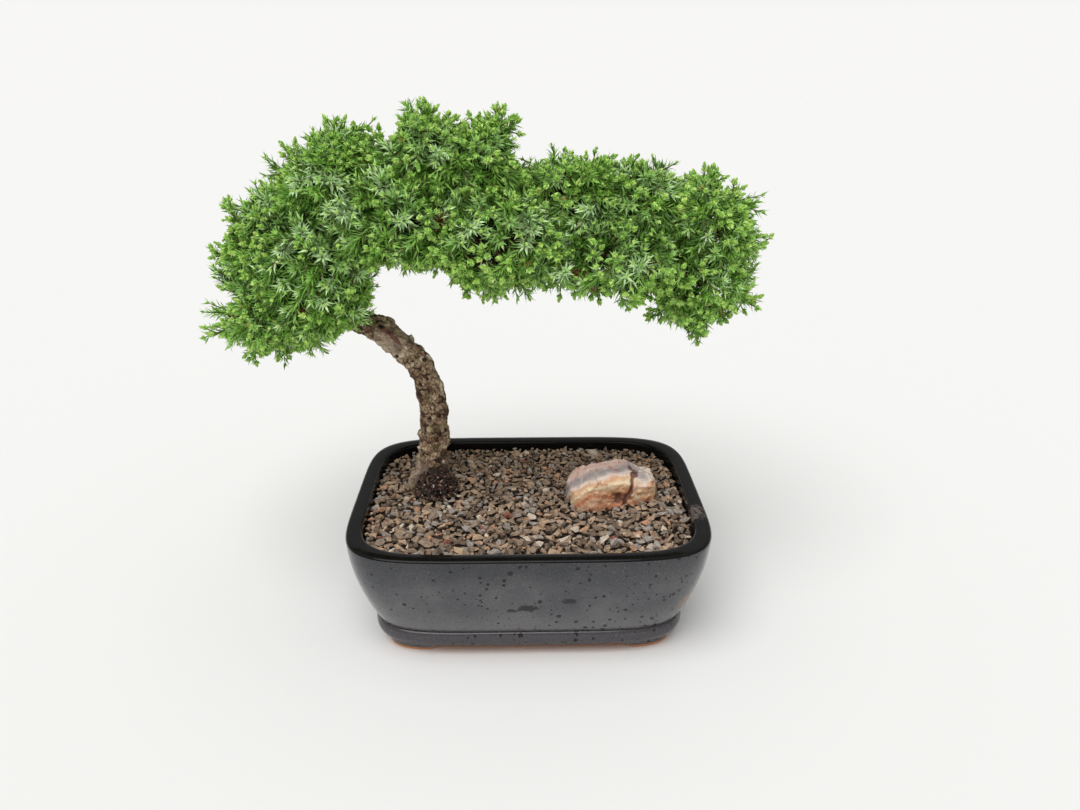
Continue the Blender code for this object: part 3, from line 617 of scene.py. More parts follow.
def body_glaze():
    """Blue-grey glaze, finely mottled, with black specks, two smears and rusty stains; painted shade high on
    the wall and a painted reflection of the floor low on it.
    """
    glaze = Finish("body_glaze", 0.15, 0.4)
    cloud = glaze.step(glaze.grain(30, 3, 0.6), 0.3, 0.7)
    glaze.colour(glaze.blend(cloud, (0.064, 0.065, 0.072), (0.084, 0.085, 0.091), (0.112, 0.110, 0.114)))
    height = glaze.height()
    # Painted shade: the wall darkens toward the rim.
    glaze.coat((0.022, 0.023, 0.027), height, (44.0, 70.0), 0.75)
    # Painted reflection of the pale floor: the wall pales toward the foot.
    glaze.coat((0.150, 0.145, 0.145), height, (40.0, 18.0), 0.6)
    glaze.coat((0.052, 0.047, 0.052), height, (16.7, 15.5), 0.9)
    glaze.coat((0.21, 0.215, 0.235), glaze.grain(0.8, 3, 0.7), (0.56, 0.76), 0.75)
    glaze.coat((0.035, 0.035, 0.040), glaze.grain(1.3, 2, 0.6), (0.44, 0.30), 0.5)
    right = glaze.step(glaze.part(glaze.place, 0), -90 * MM, 20 * MM)
    crowd = glaze.total(glaze.times(right, 0.55), glaze.step(glaze.grain(38, 1, 0.5), 0.2, 0.6))
    place = glaze.warped(2.0, 0.5)
    for size, least, most in ((5.2, 0.2, 0.19), (4.1, 0.45, 0.19), (2.9, 0.65, 0.20)):
        chance = glaze.step(glaze.part(glaze.cells(size, "Color", "F1", place), 0), least, 1.0)
        edge = glaze.times(glaze.times(chance, crowd), most)
        speck = glaze.maths("LESS_THAN", glaze.cells(size, place=place), edge)
        glaze.coat((0.007, 0.007, 0.008), speck)
    ragged = glaze.grain(2.8, 4, 0.7, 0.3, (1, 1, 1.7))
    for spot, reach in (((-1, -77, 37), 15), ((21, -78, 42), 11), ((-10, -77, 35), 8)):
        smear = glaze.blot(ragged, spot, reach, (1, 0.3, 1.9))
        glaze.coat((0.012, 0.012, 0.015), smear, (0.34, 0.38))
    streak = glaze.grain(7, 3, 0.55, 0.4, (0.5, 0.5, 2.6))
    glaze.coat((0.085, 0.062, 0.050), streak, (0.60, 0.76), 0.4)
    stain = glaze.blot(glaze.grain(2.4, 4, 0.75), (88, -62, 34), 24, (1, 1, 1.3))
    glaze.coat((0.17, 0.095, 0.06), stain, (0.30, 0.42))
    chip = glaze.blot(glaze.grain(1.6, 3, 0.7), (92, -60, 31), 12)
    glaze.coat((0.26, 0.20, 0.16), chip, (0.38, 0.44))
    glaze.bump(glaze.grain(9, 3, 0.5), 0.10)
    return glaze.material


def rim_glaze():
    """Near-black glaze of the rim and the inner wall, with a little dust."""
    glaze = Finish("rim_glaze", 0.08, 0.14)
    glaze.colour(glaze.blend(glaze.grain(9, 3, 0.6), (0.003, 0.003, 0.003), (0.009, 0.008, 0.008)))
    dust = glaze.blot(glaze.grain(1.6, 3, 0.7), (94, -30, 68), 26)
    glaze.coat((0.14, 0.11, 0.095), dust, (0.34, 0.52))
    glaze.bump(glaze.grain(14, 2, 0.5), 0.14)
    return glaze.material


def bare_clay():
    """Unglazed orange clay under the feet."""
    clay = Finish("bare_clay", 0.85)
    clay.colour(clay.blend(clay.grain(4, 4, 0.7), (0.42, 0.15, 0.045), (0.62, 0.27, 0.10)))
    clay.bump(clay.grain(0.8, 3, 0.6), 0.2)
    return clay.material


def grain_finish(name, dark, light):
    """One colour of gravel, soil or twig, with fine dust and pits."""
    grit = Finish(name, 0.85, 0.3)
    grit.colour(grit.blend(grit.step(grit.grain(1.3, 4, 0.7), 0.3, 0.7), dark, light))
    grit.bump(grit.grain(0.5, 3, 0.6), 0.15)
    return grit.material


GRAVEL_TINTS = (  # name, dark and light colour, share of the grains
    ("gravel_brown_grey", (0.189, 0.130, 0.088), (0.392, 0.287, 0.207), 0.41),
    ("gravel_dark", (0.092, 0.062, 0.044), (0.210, 0.149, 0.106), 0.18),
    ("gravel_tan", (0.322, 0.214, 0.136), (0.588, 0.421, 0.292), 0.16),
    ("gravel_orange", (0.350, 0.186, 0.106), (0.588, 0.345, 0.215), 0.070),
    ("gravel_grey", (0.217, 0.185, 0.163), (0.448, 0.389, 0.340), 0.130),
    ("gravel_pale", (0.448, 0.366, 0.288), (0.756, 0.642, 0.524), 0.040),
    ("gravel_red", (0.210, 0.069, 0.044), (0.364, 0.145, 0.092), 0.010),
)
PALE_SHARES = (0.22, 0.08, 0.18, 0.08, 0.26, 0.18, 0.0)  # of the paler grains before the trunk
CRUMB_TINTS = (
    ("crumb_dark", (0.016, 0.009, 0.007), (0.060, 0.036, 0.026), 0.44),
    ("crumb_brown", (0.075, 0.040, 0.028), (0.170, 0.095, 0.068), 0.43),
    ("crumb_pink", (0.200, 0.120, 0.095), (0.330, 0.220, 0.180), 0.11),
    ("crumb_white", (0.380, 0.350, 0.310), (0.600, 0.570, 0.530), 0.02),
)
ROCK_LAYERS = (  # colours from the rock's top to its foot
    (0.74, 0.50, 0.42), (0.62, 0.42, 0.36), (0.70, 0.48, 0.41), (0.50, 0.38, 0.35), (0.33, 0.28, 0.28),
    (0.42, 0.35, 0.34), (0.84, 0.70, 0.60), (0.76, 0.40, 0.22), (0.92, 0.76, 0.50), (0.80, 0.44, 0.24),
    (0.52, 0.19, 0.09), (0.86, 0.56, 0.36), (0.58, 0.24, 0.12),
)  # fmt: skip
# The darkest tones, in the hollows and cracks, are partly the bark's own colour and partly painted shade.
BARK_TONES = (  # colours from the bark's hollows to its flakes
    (0.016, 0.009, 0.006), (0.085, 0.048, 0.030), (0.230, 0.148, 0.088),
    (0.395, 0.290, 0.186), (0.550, 0.444, 0.310), (0.745, 0.640, 0.490),
)  # fmt: skip


def rock_finish():
    """Layered rock: pink over grey, cream and orange, then rusty and brown to its foot, with painted shade
    in its recesses.
    """
    rock = Finish("layered_rock", 0.5, 0.4)
    shift = rock.times(rock.maths("SUBTRACT", rock.grain(4.6, 5, 0.62, 0.6), 0.5), 0.26)
    rock.colour(rock.blend(rock.total(rock.attribute("layer"), shift), *ROCK_LAYERS))
    rock.coat((0.80, 0.70, 0.58), rock.grain(5.5, 4, 0.6, 0.8), (0.58, 0.70), 0.65)
    rock.coat((0.40, 0.11, 0.04), rock.grain(6.5, 5, 0.65, 1.0), (0.56, 0.66), 0.55)
    # Painted shade: dark red-brown where the relief is low, in the rock's hollows, crease and ledges.
    rock.coat((0.12, 0.035, 0.022), rock.attribute("relief"), (0.42, 0.05), 0.85)
    rock.bump(rock.grain(0.8, 5, 0.65), 0.35)
    return rock.material


def bark_finish():
    """Grey-tan flaking bark with dark hollows, partly painted shade, smooth and pale at the bend, red-brown
    where young.
    """
    bark = Finish("old_bark", 0.85, 0.25)
    place = bark.warped(3.0, 2.2)
    # Painted shade over the bark's own darker cracks: the tone darkens at the flakes' edges, in hollows and
    # where the relief is low.
    gap = bark.step(bark.cells(3.8, "Distance", "DISTANCE_TO_EDGE", place), 0.0, 0.16)
    flake = bark.part(bark.cells(3.8, "Color", "F1", place), 0)
    jitter = bark.maths("SUBTRACT", bark.grain(1.1, 4, 0.7), 0.5)
    hollow = bark.step(bark.grain(3.6, 3, 0.6, 0.8), 0.50, 0.34)
    terms = ((bark.attribute("relief"), 0.80), (flake, 0.42), (jitter, 1.05), (hollow, -0.42))
    tone = bark.total(*(bark.times(*term) for term in terms))
    tone = bark.times(tone, bark.total(bark.times(gap, 0.55), 0.5))
    smooth = bark.near((-80, 12, 157), 17, (1, 0.4, 1.2))
    high = bark.times(bark.step(bark.height(), 120.0, 165.0), 0.10)
    bark.colour(bark.blend(bark.total(tone, high, bark.times(smooth, 0.22)), *BARK_TONES))
    bark.coat((0.200, 0.185, 0.080), bark.grain(9.0, 4, 0.6), (0.52, 0.66), 0.38)
    bark.coat((0.200, 0.090, 0.060), bark.grain(6.0, 4, 0.6, 0.5), (0.54, 0.68), 0.58)
    bark.coat((0.440, 0.350, 0.290), smooth, strength=0.42)
    foot = bark.blot(bark.grain(3.0, 3, 0.6), (-53, 15, 73), 16)
    bark.coat((0.075, 0.040, 0.030), foot, (0.20, 0.42))
    root = bark.blot(bark.grain(2.2, 4, 0.7), (-69.5, 12.5, 76), 17, (1.4, 0.6, 1), -68.0)
    bark.coat((0.560, 0.430, 0.345), root)
    bark.coat((0.030, 0.016, 0.010), bark.attribute("knot"))
    ragged = bark.grain(2.6, 3, 0.6)
    for spot, fall in (((-81.4, 13, 165.2), 25.0), ((-76.6, 13, 160.6), 52.0)):
        streak = bark.blot(ragged, spot, 2.3, (0.24, 0.25, 1), fall)
        bark.coat((0.190, 0.085, 0.072), streak, (0.12, 0.26))
    young = bark.blend(bark.grain(3.0, 3, 0.6), (0.055, 0.026, 0.016), (0.170, 0.090, 0.055))
    bark.coat(young, bark.attribute("young"))
    bark.bump(bark.grain(0.9, 5, 0.7), 0.4)
    return bark.material


TWIG_TINTS = (
    ("twig_brown", (0.060, 0.026, 0.014), (0.150, 0.070, 0.040)),
    ("twig_green", (0.088, 0.092, 0.022), (0.180, 0.180, 0.052)),
)
BROWN_TWIG, GREEN_TWIG = range(len(TWIG_TINTS))

NEEDLE_TINTS = (
    # The first, darkest green is painted shade, for needles deep in the crown.
    ("needle_inner", (0.030, 0.073, 0.009)),
    ("needle_deep", (0.086, 0.212, 0.025)),
    ("needle_mid", (0.172, 0.380, 0.051)),
    ("needle_light", (0.264, 0.515, 0.090)),
    ("needle_silver_deep", (0.350, 0.590, 0.188)),
    ("needle_silver", (0.580, 0.815, 0.405)),
    ("needle_fresh", (0.360, 0.582, 0.105)),
    ("needle_tip", (0.520, 0.718, 0.188)),
    ("needle_bud", (0.532, 0.204, 0.044)),
    ("needle_dry", (0.247, 0.097, 0.039)),
)
INNER_SHADE, DEEP, MID, LIGHT, SILVER_DEEP, SILVER, FRESH, TIP, BUD, DRY = range(len(NEEDLE_TINTS))


def needle_finish(name, colour):
    """One plain tint of needle."""
    finish = Finish(name, 0.5, 0.4)
    finish.colour(colour)
    return finish.material


# Pot


def soft_rectangle(inset, height, exponent=CORNER_EXPONENT):
    """The pot's outline drawn in by inset, as a ring of points that are closer at its corners."""
    angle = np.arange(OUTLINE_POINTS) * 2 * math.pi / OUTLINE_POINTS
    turn = np.column_stack((np.cos(angle), np.sin(angle)))
    half = np.array((POT_LENGTH, POT_DEPTH)) / 2 - inset
    ring = np.empty((OUTLINE_POINTS, 3))
    ring[:, :2] = half * np.sign(turn) * np.abs(turn) ** (2 / exponent)
    ring[:, 2] = height
    return ring


def in_outline(x, y, inset):
    """Whether a place is inside the pot's outline drawn in by inset."""
    across = abs(x) / (POT_LENGTH / 2 - inset)
    back = abs(y) / (POT_DEPTH / 2 - inset)
    return across**CORNER_EXPONENT + back**CORNER_EXPONENT < 1


def smooth_step(values, start, end):
    """From 0 at start to 1 at end, easing at both."""
    share = np.clip((values - start) / (end - start), 0, 1)
    return share * share * (3 - 2 * share)


def foot_edge(ring):
    """Heights of the pot's lower edge: 0 at the four feet and risen between them."""
    at_corner = smooth_step(np.abs(ring[:, 0]), *FOOT_FROM_X)
    at_corner = at_corner * smooth_step(np.abs(ring[:, 1]), *FOOT_FROM_Y)
    return FOOT_RISE * (1 - at_corner)


def body_inset(height):
    """How far the outer wall lies in from the rim: it bulges as it rises."""
    share = np.clip((height - BODY_BASE) / (POT_HEIGHT - BODY_BASE), 0, 1)
    return BODY_INSET * (1 - share) ** BODY_BULGE


def rounded_rim():
    """Inset and height of rings over the rim: rounded outside and in, and a little crowned."""
    rings = []
    for angle in np.radians(np.linspace(0, 90, 7)):
        inset = RIM_ROUNDING * (1 - math.cos(angle))
        rings.append((inset, POT_HEIGHT - RIM_CROWN - RIM_ROUNDING * (1 - math.sin(angle))))
    for share in (0.25, 0.5, 0.75):
        crown = RIM_CROWN * math.sin(math.pi * share)
        inset = RIM_ROUNDING + share * (RIM_WIDTH - 2 * RIM_ROUNDING)
        rings.append((inset, POT_HEIGHT - RIM_CROWN + crown))
    for angle in np.radians(np.linspace(90, 0, 6)):
        inset = RIM_WIDTH - RIM_ROUNDING * (1 - math.cos(angle))
        rings.append((inset, POT_HEIGHT - RIM_CROWN - RIM_ROUNDING * (1 - math.sin(angle))))
    return rings


def pot_rings():
    """Rings from the middle of the underside, out and up the wall, and down inside."""
    lower_edge = foot_edge(soft_rectangle(FOOT_INSET, 0, FOOT_EXPONENT))
    foot_inner = FOOT_INSET + FOOT_WIDTH
    rings = [
        soft_rectangle(foot_inner + 1, UNDERSIDE, FOOT_EXPONENT),
        soft_rectangle(foot_inner, lower_edge + 0.4, FOOT_EXPONENT),
        soft_rectangle(foot_inner - 0.5, lower_edge, FOOT_EXPONENT),
        soft_rectangle(FOOT_INSET + 0.6, lower_edge, FOOT_EXPONENT),
        soft_rectangle(FOOT_INSET, lower_edge + 0.5, FOOT_EXPONENT),
    ]
    foot = rings[-1]
    top = soft_rectangle(FOOT_TOP_INSET, FOOT_TOP)
    for share in (0.1, 0.22, 0.4, 0.7, 1.0):
        rings.append(foot + (top - foot) * share)
    for share in np.linspace(0, 1, 9):
        bulge = math.sin(math.pi * share)
        inset = BAND_EDGE_INSET - (BAND_EDGE_INSET - BAND_INSET) * bulge
        rings.append(soft_rectangle(inset, BAND_BASE + share * (BAND_TOP - BAND_BASE)))
    rings.append(soft_rectangle(GROOVE_INSET, GROOVE_HEIGHT - 0.25))
    rings.append(soft_rectangle(GROOVE_INSET, GROOVE_HEIGHT + 0.2))
    rim = rounded_rim()
    for level in np.linspace(BODY_BASE, rim[0][1], BODY_LEVELS)[:-1]:
        rings.append(soft_rectangle(body_inset(level), level))
    rings += [soft_rectangle(inset, level) for inset, level in rim]
    for level in np.linspace(POT_HEIGHT - 6, FLOOR + 6, 8):
        rings.append(soft_rectangle(body_inset(level) + WALL, level))
    rings.append(soft_rectangle(FLOOR_INSET, FLOOR))
    return rings


def make_pot():
    """The glazed pot, its black rim and the bare clay under its feet."""
    finishes = (body_glaze(), rim_glaze(), bare_clay())
    pot = set_piece("glazed_pot", mesh_of(loft(pot_rings())), finishes, ["pot"])
    drills = bpy.data.collections.new("drills")
    for x in (-DRAIN_HOLE_X, DRAIN_HOLE_X):
        bm = bmesh.new()
        radius = DRAIN_HOLE_DIAMETER / 2
        bmesh.ops.create_cone(bm, cap_ends=True, segments=48, radius1=radius, radius2=radius, depth=FLOOR)
        bmesh.ops.translate(bm, vec=(x, 0, (UNDERSIDE + FLOOR) / 2), verts=bm.verts)
        drills.objects.link(bpy.data.objects.new("drill", mesh_of(bm)))
    bore = pot.modifiers.new("drain_holes", "BOOLEAN")
    bore.operand_type = "COLLECTION"
    bore.collection = drills
    apply_modifiers(pot)
    for drill in list(drills.objects):
        bpy.data.objects.remove(drill)
    bpy.data.collections.remove(drills)
    split_pot_finish(pot.data)
    pot.data.shade_smooth()
    pot.data.set_sharp_from_angle(angle=math.radians(SHARP_EDGE))


def split_pot_finish(mesh):
    """Give the rim and inner wall the black glaze, and what is under the foot the bare clay."""
    for face in mesh.polygons:
        x, y, level = (np.array(face.center) - POT_CENTRE) / MM
        across = max(abs(x) / (POT_LENGTH / 2), abs(y) / (POT_DEPTH / 2))
        inside = in_outline(x, y, body_inset(level) + WALL / 2)
        inside = inside and level > FLOOR - 1 and face.normal.z > -0.2
        under = face.normal.z < -0.7 and level < FOOT_TOP + 0.4 and across < 0.8
        if inside or level > POT_HEIGHT - RIM_GLAZE_DEPTH:
            face.material_index = 1
        elif under or level < BARE_CLAY_HEIGHT:
            face.material_index = 2
        else:
            face.material_index = 0


# Gravel


def make_bed(soil):
    """The moist soil under the gravel, as wide as the pot's inside."""
    rings = [soft_rectangle(FLOOR_INSET + SOIL_CLEARANCE, FLOOR + 0.3)]
    for level in np.linspace(FLOOR + 6, SOIL_TOP - BED_DEPTH, 6):
        rings.append(soft_rectangle(body_inset(level) + WALL + SOIL_CLEARANCE, level))
    set_piece("soil_bed", mesh_of(loft(rings)), [soil], ["soil"])


def bed_height(x, y):
    """Height of the gravel's surface, which rises to the trunk's foot."""
    away = math.hypot(x - STEM_AXIS[0][0] - 3, y - STEM_AXIS[0][1] + 3)
    mound = MOUND_HEIGHT * math.exp(-((away / MOUND_WIDTH) ** 2))
    return SOIL_TOP + mound + WAVE_HEIGHT * noise.noise((x / WAVE_LENGTH, y / WAVE_LENGTH, 1.7))


def grain_shapes(rng, count, corners, proportions):
    """Broken pebbles of size one: hulls of a few corners, as points and triangles."""
    shapes = []
    for _ in range(count):
        points = rng.normal(size=(corners, 3))
        points /= np.linalg.norm(points, axis=1)[:, None]
        points *= np.array(proportions) / 2 * rng.uniform(0.82, 1.1, (corners, 1))
        shapes.append(hull_shape(points))
    return shapes


def turned(rng, count, tilt):
    """Random turns about z after a lean of about so many radians, as 3 by 3 arrays."""
    turns = []
    for _ in range(count):
        axis = Vector((rng.normal(), rng.normal(), 0)).normalized()
        lean = Matrix.Rotation(rng.normal() * tilt, 3, axis)
        turns.append(np.array(Matrix.Rotation(rng.uniform(0, 2 * math.pi), 3, "Z") @ lean))
    return np.array(turns)


def scatter_grains(rng, kept):
    """Places and sizes of one layer of grains: larger ones first, none too close to another."""
    low, high = GRAIN_SIZES
    sizes = np.sort(low + (high - low) * rng.beta(*GRAIN_SPREAD, GRAIN_TRIES))[::-1]
    xs = rng.uniform(-POT_LENGTH / 2, POT_LENGTH / 2, GRAIN_TRIES)
    ys = rng.uniform(-POT_DEPTH / 2, POT_DEPTH / 2, GRAIN_TRIES)
    sizes = sizes * (1.02 - 0.20 * ys / (POT_DEPTH / 2))
    cell = high * 1.3
    grid = {}
    for grain in kept:
        grid.setdefault((int(grain[0] // cell), int(grain[1] // cell)), []).append(grain)
    for x, y, size in zip(xs, ys, sizes):
        if not in_outline(x, y, BED_INSET + size * 0.34):
            continue
        column, row = int(x // cell), int(y // cell)
        near = [g for i in (-1, 0, 1) for j in (-1, 0, 1) for g in grid.get((column + i, row + j), ())]
        if all(math.hypot(x - g[0], y - g[1]) > GRAIN_SPACING * (size + g[2]) for g in near):
            grid.setdefault((column, row), []).append((x, y, size))
            kept.append((x, y, size))
    return np.array(kept)


def deal(rng, finishes, count):
    """A finish for each grain, by the finishes' shares."""
    return rng.choice(len(finishes), count, p=[finish[3] for finish in finishes])


def pour(name, rng, places, sizes, tints, shapes, finishes, tilt):
    """Grains of the shapes at the places, as one piece."""
    turns = turned(rng, len(places), tilt)
    kinds = rng.integers(0, len(shapes), len(places))
    heap = Heap()
    for kind, (points, triangles) in enumerate(shapes):
        chosen = kinds == kind
        copies = np.einsum("pj,nkj->npk", points, turns[chosen]) * sizes[chosen][:, None, None]
        heap.add(copies + places[chosen][:, None, :], triangles, tints[chosen][:, None])
    set_piece(name, heap.mesh(), [grain_finish(*finish[:3]) for finish in finishes])


def make_gravel():
    """The gravel: one layer of grains that shows, and one in the gaps under it."""
    rng = np.random.default_rng(GRAVEL_SEED)
    large = slice(0, len(LARGE_GRAINS))
    top = scatter_grains(rng, [grain[:3] for grain in LARGE_GRAINS])
    under = scatter_grains(rng, [])
    grains = np.vstack((top, under))
    heights = np.array([bed_height(x, y) for x, y, _ in grains])
    heights[: len(top)] += top[:, 2] * (rng.uniform(-0.22, 0.22, len(top)) - 0.16)
    heights[large] += top[large, 2] * LARGE_LIFT
    heights[len(top) :] -= LAYER_DEPTH + under[:, 2] * rng.uniform(0.1, 0.35, len(under))
    places = np.column_stack((grains[:, :2], heights))
    tints = deal(rng, GRAVEL_TINTS, len(places))
    pale = np.hypot(places[:, 0] - PALE_PATCH[0], places[:, 1] - PALE_PATCH[1]) < PALE_REACH
    tints[pale] = rng.choice(len(GRAVEL_TINTS), pale.sum(), p=PALE_SHARES)
    tints[large] = [grain[3] for grain in LARGE_GRAINS]
    shapes = grain_shapes(rng, **PEBBLES)
    pour("gravel_grains", rng, places, grains[:, 2], tints, shapes, GRAVEL_TINTS, PEBBLE_TILT)


def make_crumbs(soil):
    """Dark soil heaped against the trunk's foot, with crumbs and a few white grains on it."""
    rng = np.random.default_rng(CRUMB_SEED)
    bm = bmesh.new()
    bmesh.ops.create_icosphere(bm, subdivisions=5, radius=1)
    size = Vector(CRUMB_HEAP)
    for vert in bm.verts:
        lump = 0.88 + 0.34 * noise.noise(vert.co * 2.3) + 0.16 * noise.noise(vert.co * 7)
        vert.co = vert.co * size * lump
    bmesh.ops.translate(bm, vec=(*CRUMB_PATCH, SOIL_TOP), verts=bm.verts)
    set_piece("soil_mound", mesh_of(bm), [soil])
    angles = rng.uniform(0, 2 * math.pi, CRUMBS)
    away = np.sqrt(rng.uniform(0, 1.3, CRUMBS))
    x = CRUMB_PATCH[0] + away * CRUMB_HEAP[0] * np.cos(angles)
    y = CRUMB_PATCH[1] + away * CRUMB_HEAP[1] * np.sin(angles)
    dome = CRUMB_HEAP[2] * np.sqrt(np.clip(1 - away**2, 0, 1))
    z = SOIL_TOP + np.maximum(dome * rng.uniform(0.8, 1.0, CRUMBS), 1.2) + rng.uniform(-0.4, 0.6, CRUMBS)
    tints = deal(rng, CRUMB_TINTS, CRUMBS)
    shapes = grain_shapes(rng, **CRUMB_SHAPES)
    places = np.column_stack((x, y, z))
    sizes = rng.uniform(*CRUMB_SIZES, CRUMBS)
    pour("soil_crumbs", rng, places, sizes, tints, shapes, CRUMB_TINTS, CRUMB_TILT)


# Rock


def rough_block(size, cuts):
    """A block with its base at z 0, broken by slanting planes."""
    bm = bmesh.new()
    bmesh.ops.create_cube(bm, size=1)
    bmesh.ops.scale(bm, vec=size, verts=bm.verts)
    bmesh.ops.translate(bm, vec=(0, 0, size[2] / 2), verts=bm.verts)
    for share, direction in cuts:
        point = np.sign(direction) * np.array(size) / 2 * share
        point[2] += size[2] / 2
        geometry = bm.verts[:] + bm.edges[:] + bm.faces[:]
        cut = bmesh.ops.bisect_plane(bm, geom=geometry, plane_co=point, plane_no=direction, clear_outer=True)
        edges = [item for item in cut["geom_cut"] if isinstance(item, bmesh.types.BMEdge)]
        bmesh.ops.holes_fill(bm, edges=edges)
    for vert in bm.verts:
        if vert.co.z < 0.01:
            vert.co.z = -STONE_SUNK
    return bm


def make_rock():
    """The rock: its two broken blocks made one, then weathered, and sunk a little in the gravel."""
    wedge = rough_block(STONE_SIZE, STONE_CUTS)
    lump = rough_block(STONE_END_SIZE, STONE_END_CUTS)
    bmesh.ops.translate(lump, vec=(*STONE_END_OFFSET, 0), verts=lump.verts)
    join(wedge, lump)
    rock = add_object("rock", to_mesh(wedge, "rock"))
    remesh = rock.modifiers.new("even_faces", "REMESH")
    remesh.mode = "VOXEL"
    remesh.voxel_size = STONE_VOXEL
    apply_modifiers(rock)
    bm = bmesh.new()
    bm.from_mesh(rock.data)
    bpy.data.objects.remove(rock)
    bmesh.ops.smooth_vert(bm, verts=bm.verts, factor=0.5, use_axis_x=True, use_axis_y=True, use_axis_z=True)
    bm.normal_update()
    numbers = weather(bm)
    turn = Matrix.Rotation(math.radians(STONE_TURN), 3, "Z")
    bmesh.ops.rotate(bm, cent=(0, 0, 0), matrix=turn, verts=bm.verts)
    bmesh.ops.translate(bm, vec=(*STONE_CENTRE, SOIL_TOP + STONE_LIFT), verts=bm.verts)
    mesh = mesh_of(bm)
    add_numbers(mesh, ("layer", "relief"), numbers)
    set_piece("layered_rock", mesh, [rock_finish()], ["stone"])


def weather(bm):
    """Move the rock's points in and out by ledges and chips: a layer and a height for each point, whose low
    points the finish darkens as painted shade.
    """
    numbers = []
    moves = []
    for vert in bm.verts:
        place = vert.co
        bend = 1.8 * noise.noise(place / 13)
        depth = 0.62 * -place.y - 0.62 * (place.z - 9.5) + 0.05 * place.x + bend
        layer = (depth + 12) / 26
        ledge = noise.noise((depth / 1.7, place.x / 19, 3.0))
        chip = noise.noise(place / 3.4)
        fine = noise.noise(place / 1.1)
        height = 0.55 * ledge + 0.75 * chip * abs(chip) * 1.6 + 0.18 * fine
        front = 1 - smooth_step(np.float64(place.y), -6.0, 5.0)
        past_crease = place.x - STONE_CREASE - STONE_CREASE_LEAN * place.z
        crease = math.exp(-(((past_crease + 2.0 * chip) / 2.0) ** 2))
        height -= (0.5 + 1.8 * front) * crease
        hollow = math.exp(-(((place.x - 2) / 8) ** 2 + ((place.z - 4.5) / 3.6) ** 2)) * front
        height -= 1.9 * hollow * (0.5 + abs(noise.noise(place / 4.5)) * 2)
        if past_crease > 1:
            layer = 0.50 + 0.02 * (14 - place.z) + 0.08 * noise.noise(place / 4)
        numbers.append((layer, 0.55 + 0.34 * height))
        drop = STONE_END_DROP * smooth_step(past_crease, 0.0, 4.0) * place.z / STONE_SIZE[2]
        moves.append(vert.normal * height - Vector((0, 0, drop)))
    for vert, move in zip(bm.verts, moves):
        vert.co += move
    return numbers


# Limbs


def unit(vector):
    """The vector at length one."""
    vector = np.asarray(vector, float)
    return vector / np.linalg.norm(vector)


def smooth_curve(points, steps):
    """A curve through all the points, with equally many steps between each two."""
    points = np.array(points, float)
    before = 2 * points[0] - points[1]
    after = 2 * points[-1] - points[-2]
    p = np.vstack((before, points, after))
    curve = []
    for i in range(1, len(p) - 2):
        for t in np.arange(steps) / steps:
            a = 2 * p[i]
            b = p[i + 1] - p[i - 1]
            c = 2 * p[i - 1] - 5 * p[i] + 4 * p[i + 1] - p[i + 2]
            d = 3 * p[i] - p[i - 1] - 3 * p[i + 1] + p[i + 2]
            curve.append((a + b * t + c * t * t + d * t**3) / 2)
    curve.append(points[-1])
    return np.array(curve)


def bezier(start, leave, arrive, end, count):
    """Points of a cubic curve that leaves and arrives along the two directions."""
    t = np.linspace(0, 1, count)[:, None]
    third = np.linalg.norm(end - start) / 3
    p1 = start + unit(leave) * third
    p2 = end - unit(arrive) * third
    return (1 - t) ** 3 * start + 3 * (1 - t) ** 2 * t * p1 + 3 * (1 - t) * t * t * p2 + t**3 * end


def frames_along(points):
    """Directions of the curve, and two side directions that turn no more than it does."""
    along = np.gradient(points, axis=0)
    along /= np.linalg.norm(along, axis=1)[:, None]
    side = unit(np.cross((0, 1, 0), along[0]) + np.array((1e-3, 0, 0)))
    sides = []
    for direction in along:
        side = unit(side - direction * (side @ direction))
        sides.append(side)
    sides = np.array(sides)
    return along, sides, np.cross(along, sides)


def run_along(points):
    """Length of the curve from its start to each point."""
    steps = np.linalg.norm(np.diff(points, axis=0), axis=1)
    return np.concatenate(([0], np.cumsum(steps)))


def resample(points, stations):
    """Points of the curve at so many millimetres from its start."""
    run = run_along(points)
    return np.column_stack([np.interp(stations, run, points[:, k]) for k in range(3)])


class Limb:
    """A tapering limb: its axis, its radii, and a frame at each point of the axis."""

    def __init__(self, points, radii, frames=None):
        self.points = points
        self.radii = radii
        self.along, self.sides, self.others = frames or frames_along(points)

    def at(self, share):
        """Axis point, direction and radius at a share of the limb's length."""
        run = run_along(self.points)
        where = share * run[-1]
        nearest = int(np.argmin(np.abs(run - where)))
        radius = float(np.interp(where, run, self.radii))
        return resample(self.points, [where])[0], self.along[nearest], radius


def whole_stem():
    """The stem's axis, radii and frames as the solids have them."""
    axis = smooth_curve(STEM_AXIS, SOURCE_STEPS)
    run = run_along(axis)
    radii = STEM_ROOT_RADIUS + (STEM_TIP_RADIUS - STEM_ROOT_RADIUS) * run / run[-1]
    return axis, radii, frames_along(axis)


def divide_stem():
    """The stem's limbs by name."""
    axis, radii, (along, sides, others) = whole_stem()
    limbs = {}
    for name, (first, last) in STEM_LIMBS.items():
        part = slice(first * SOURCE_STEPS, last * SOURCE_STEPS + 1)
        limbs[name] = Limb(axis[part], radii[part], (along[part], sides[part], others[part]))
    return limbs


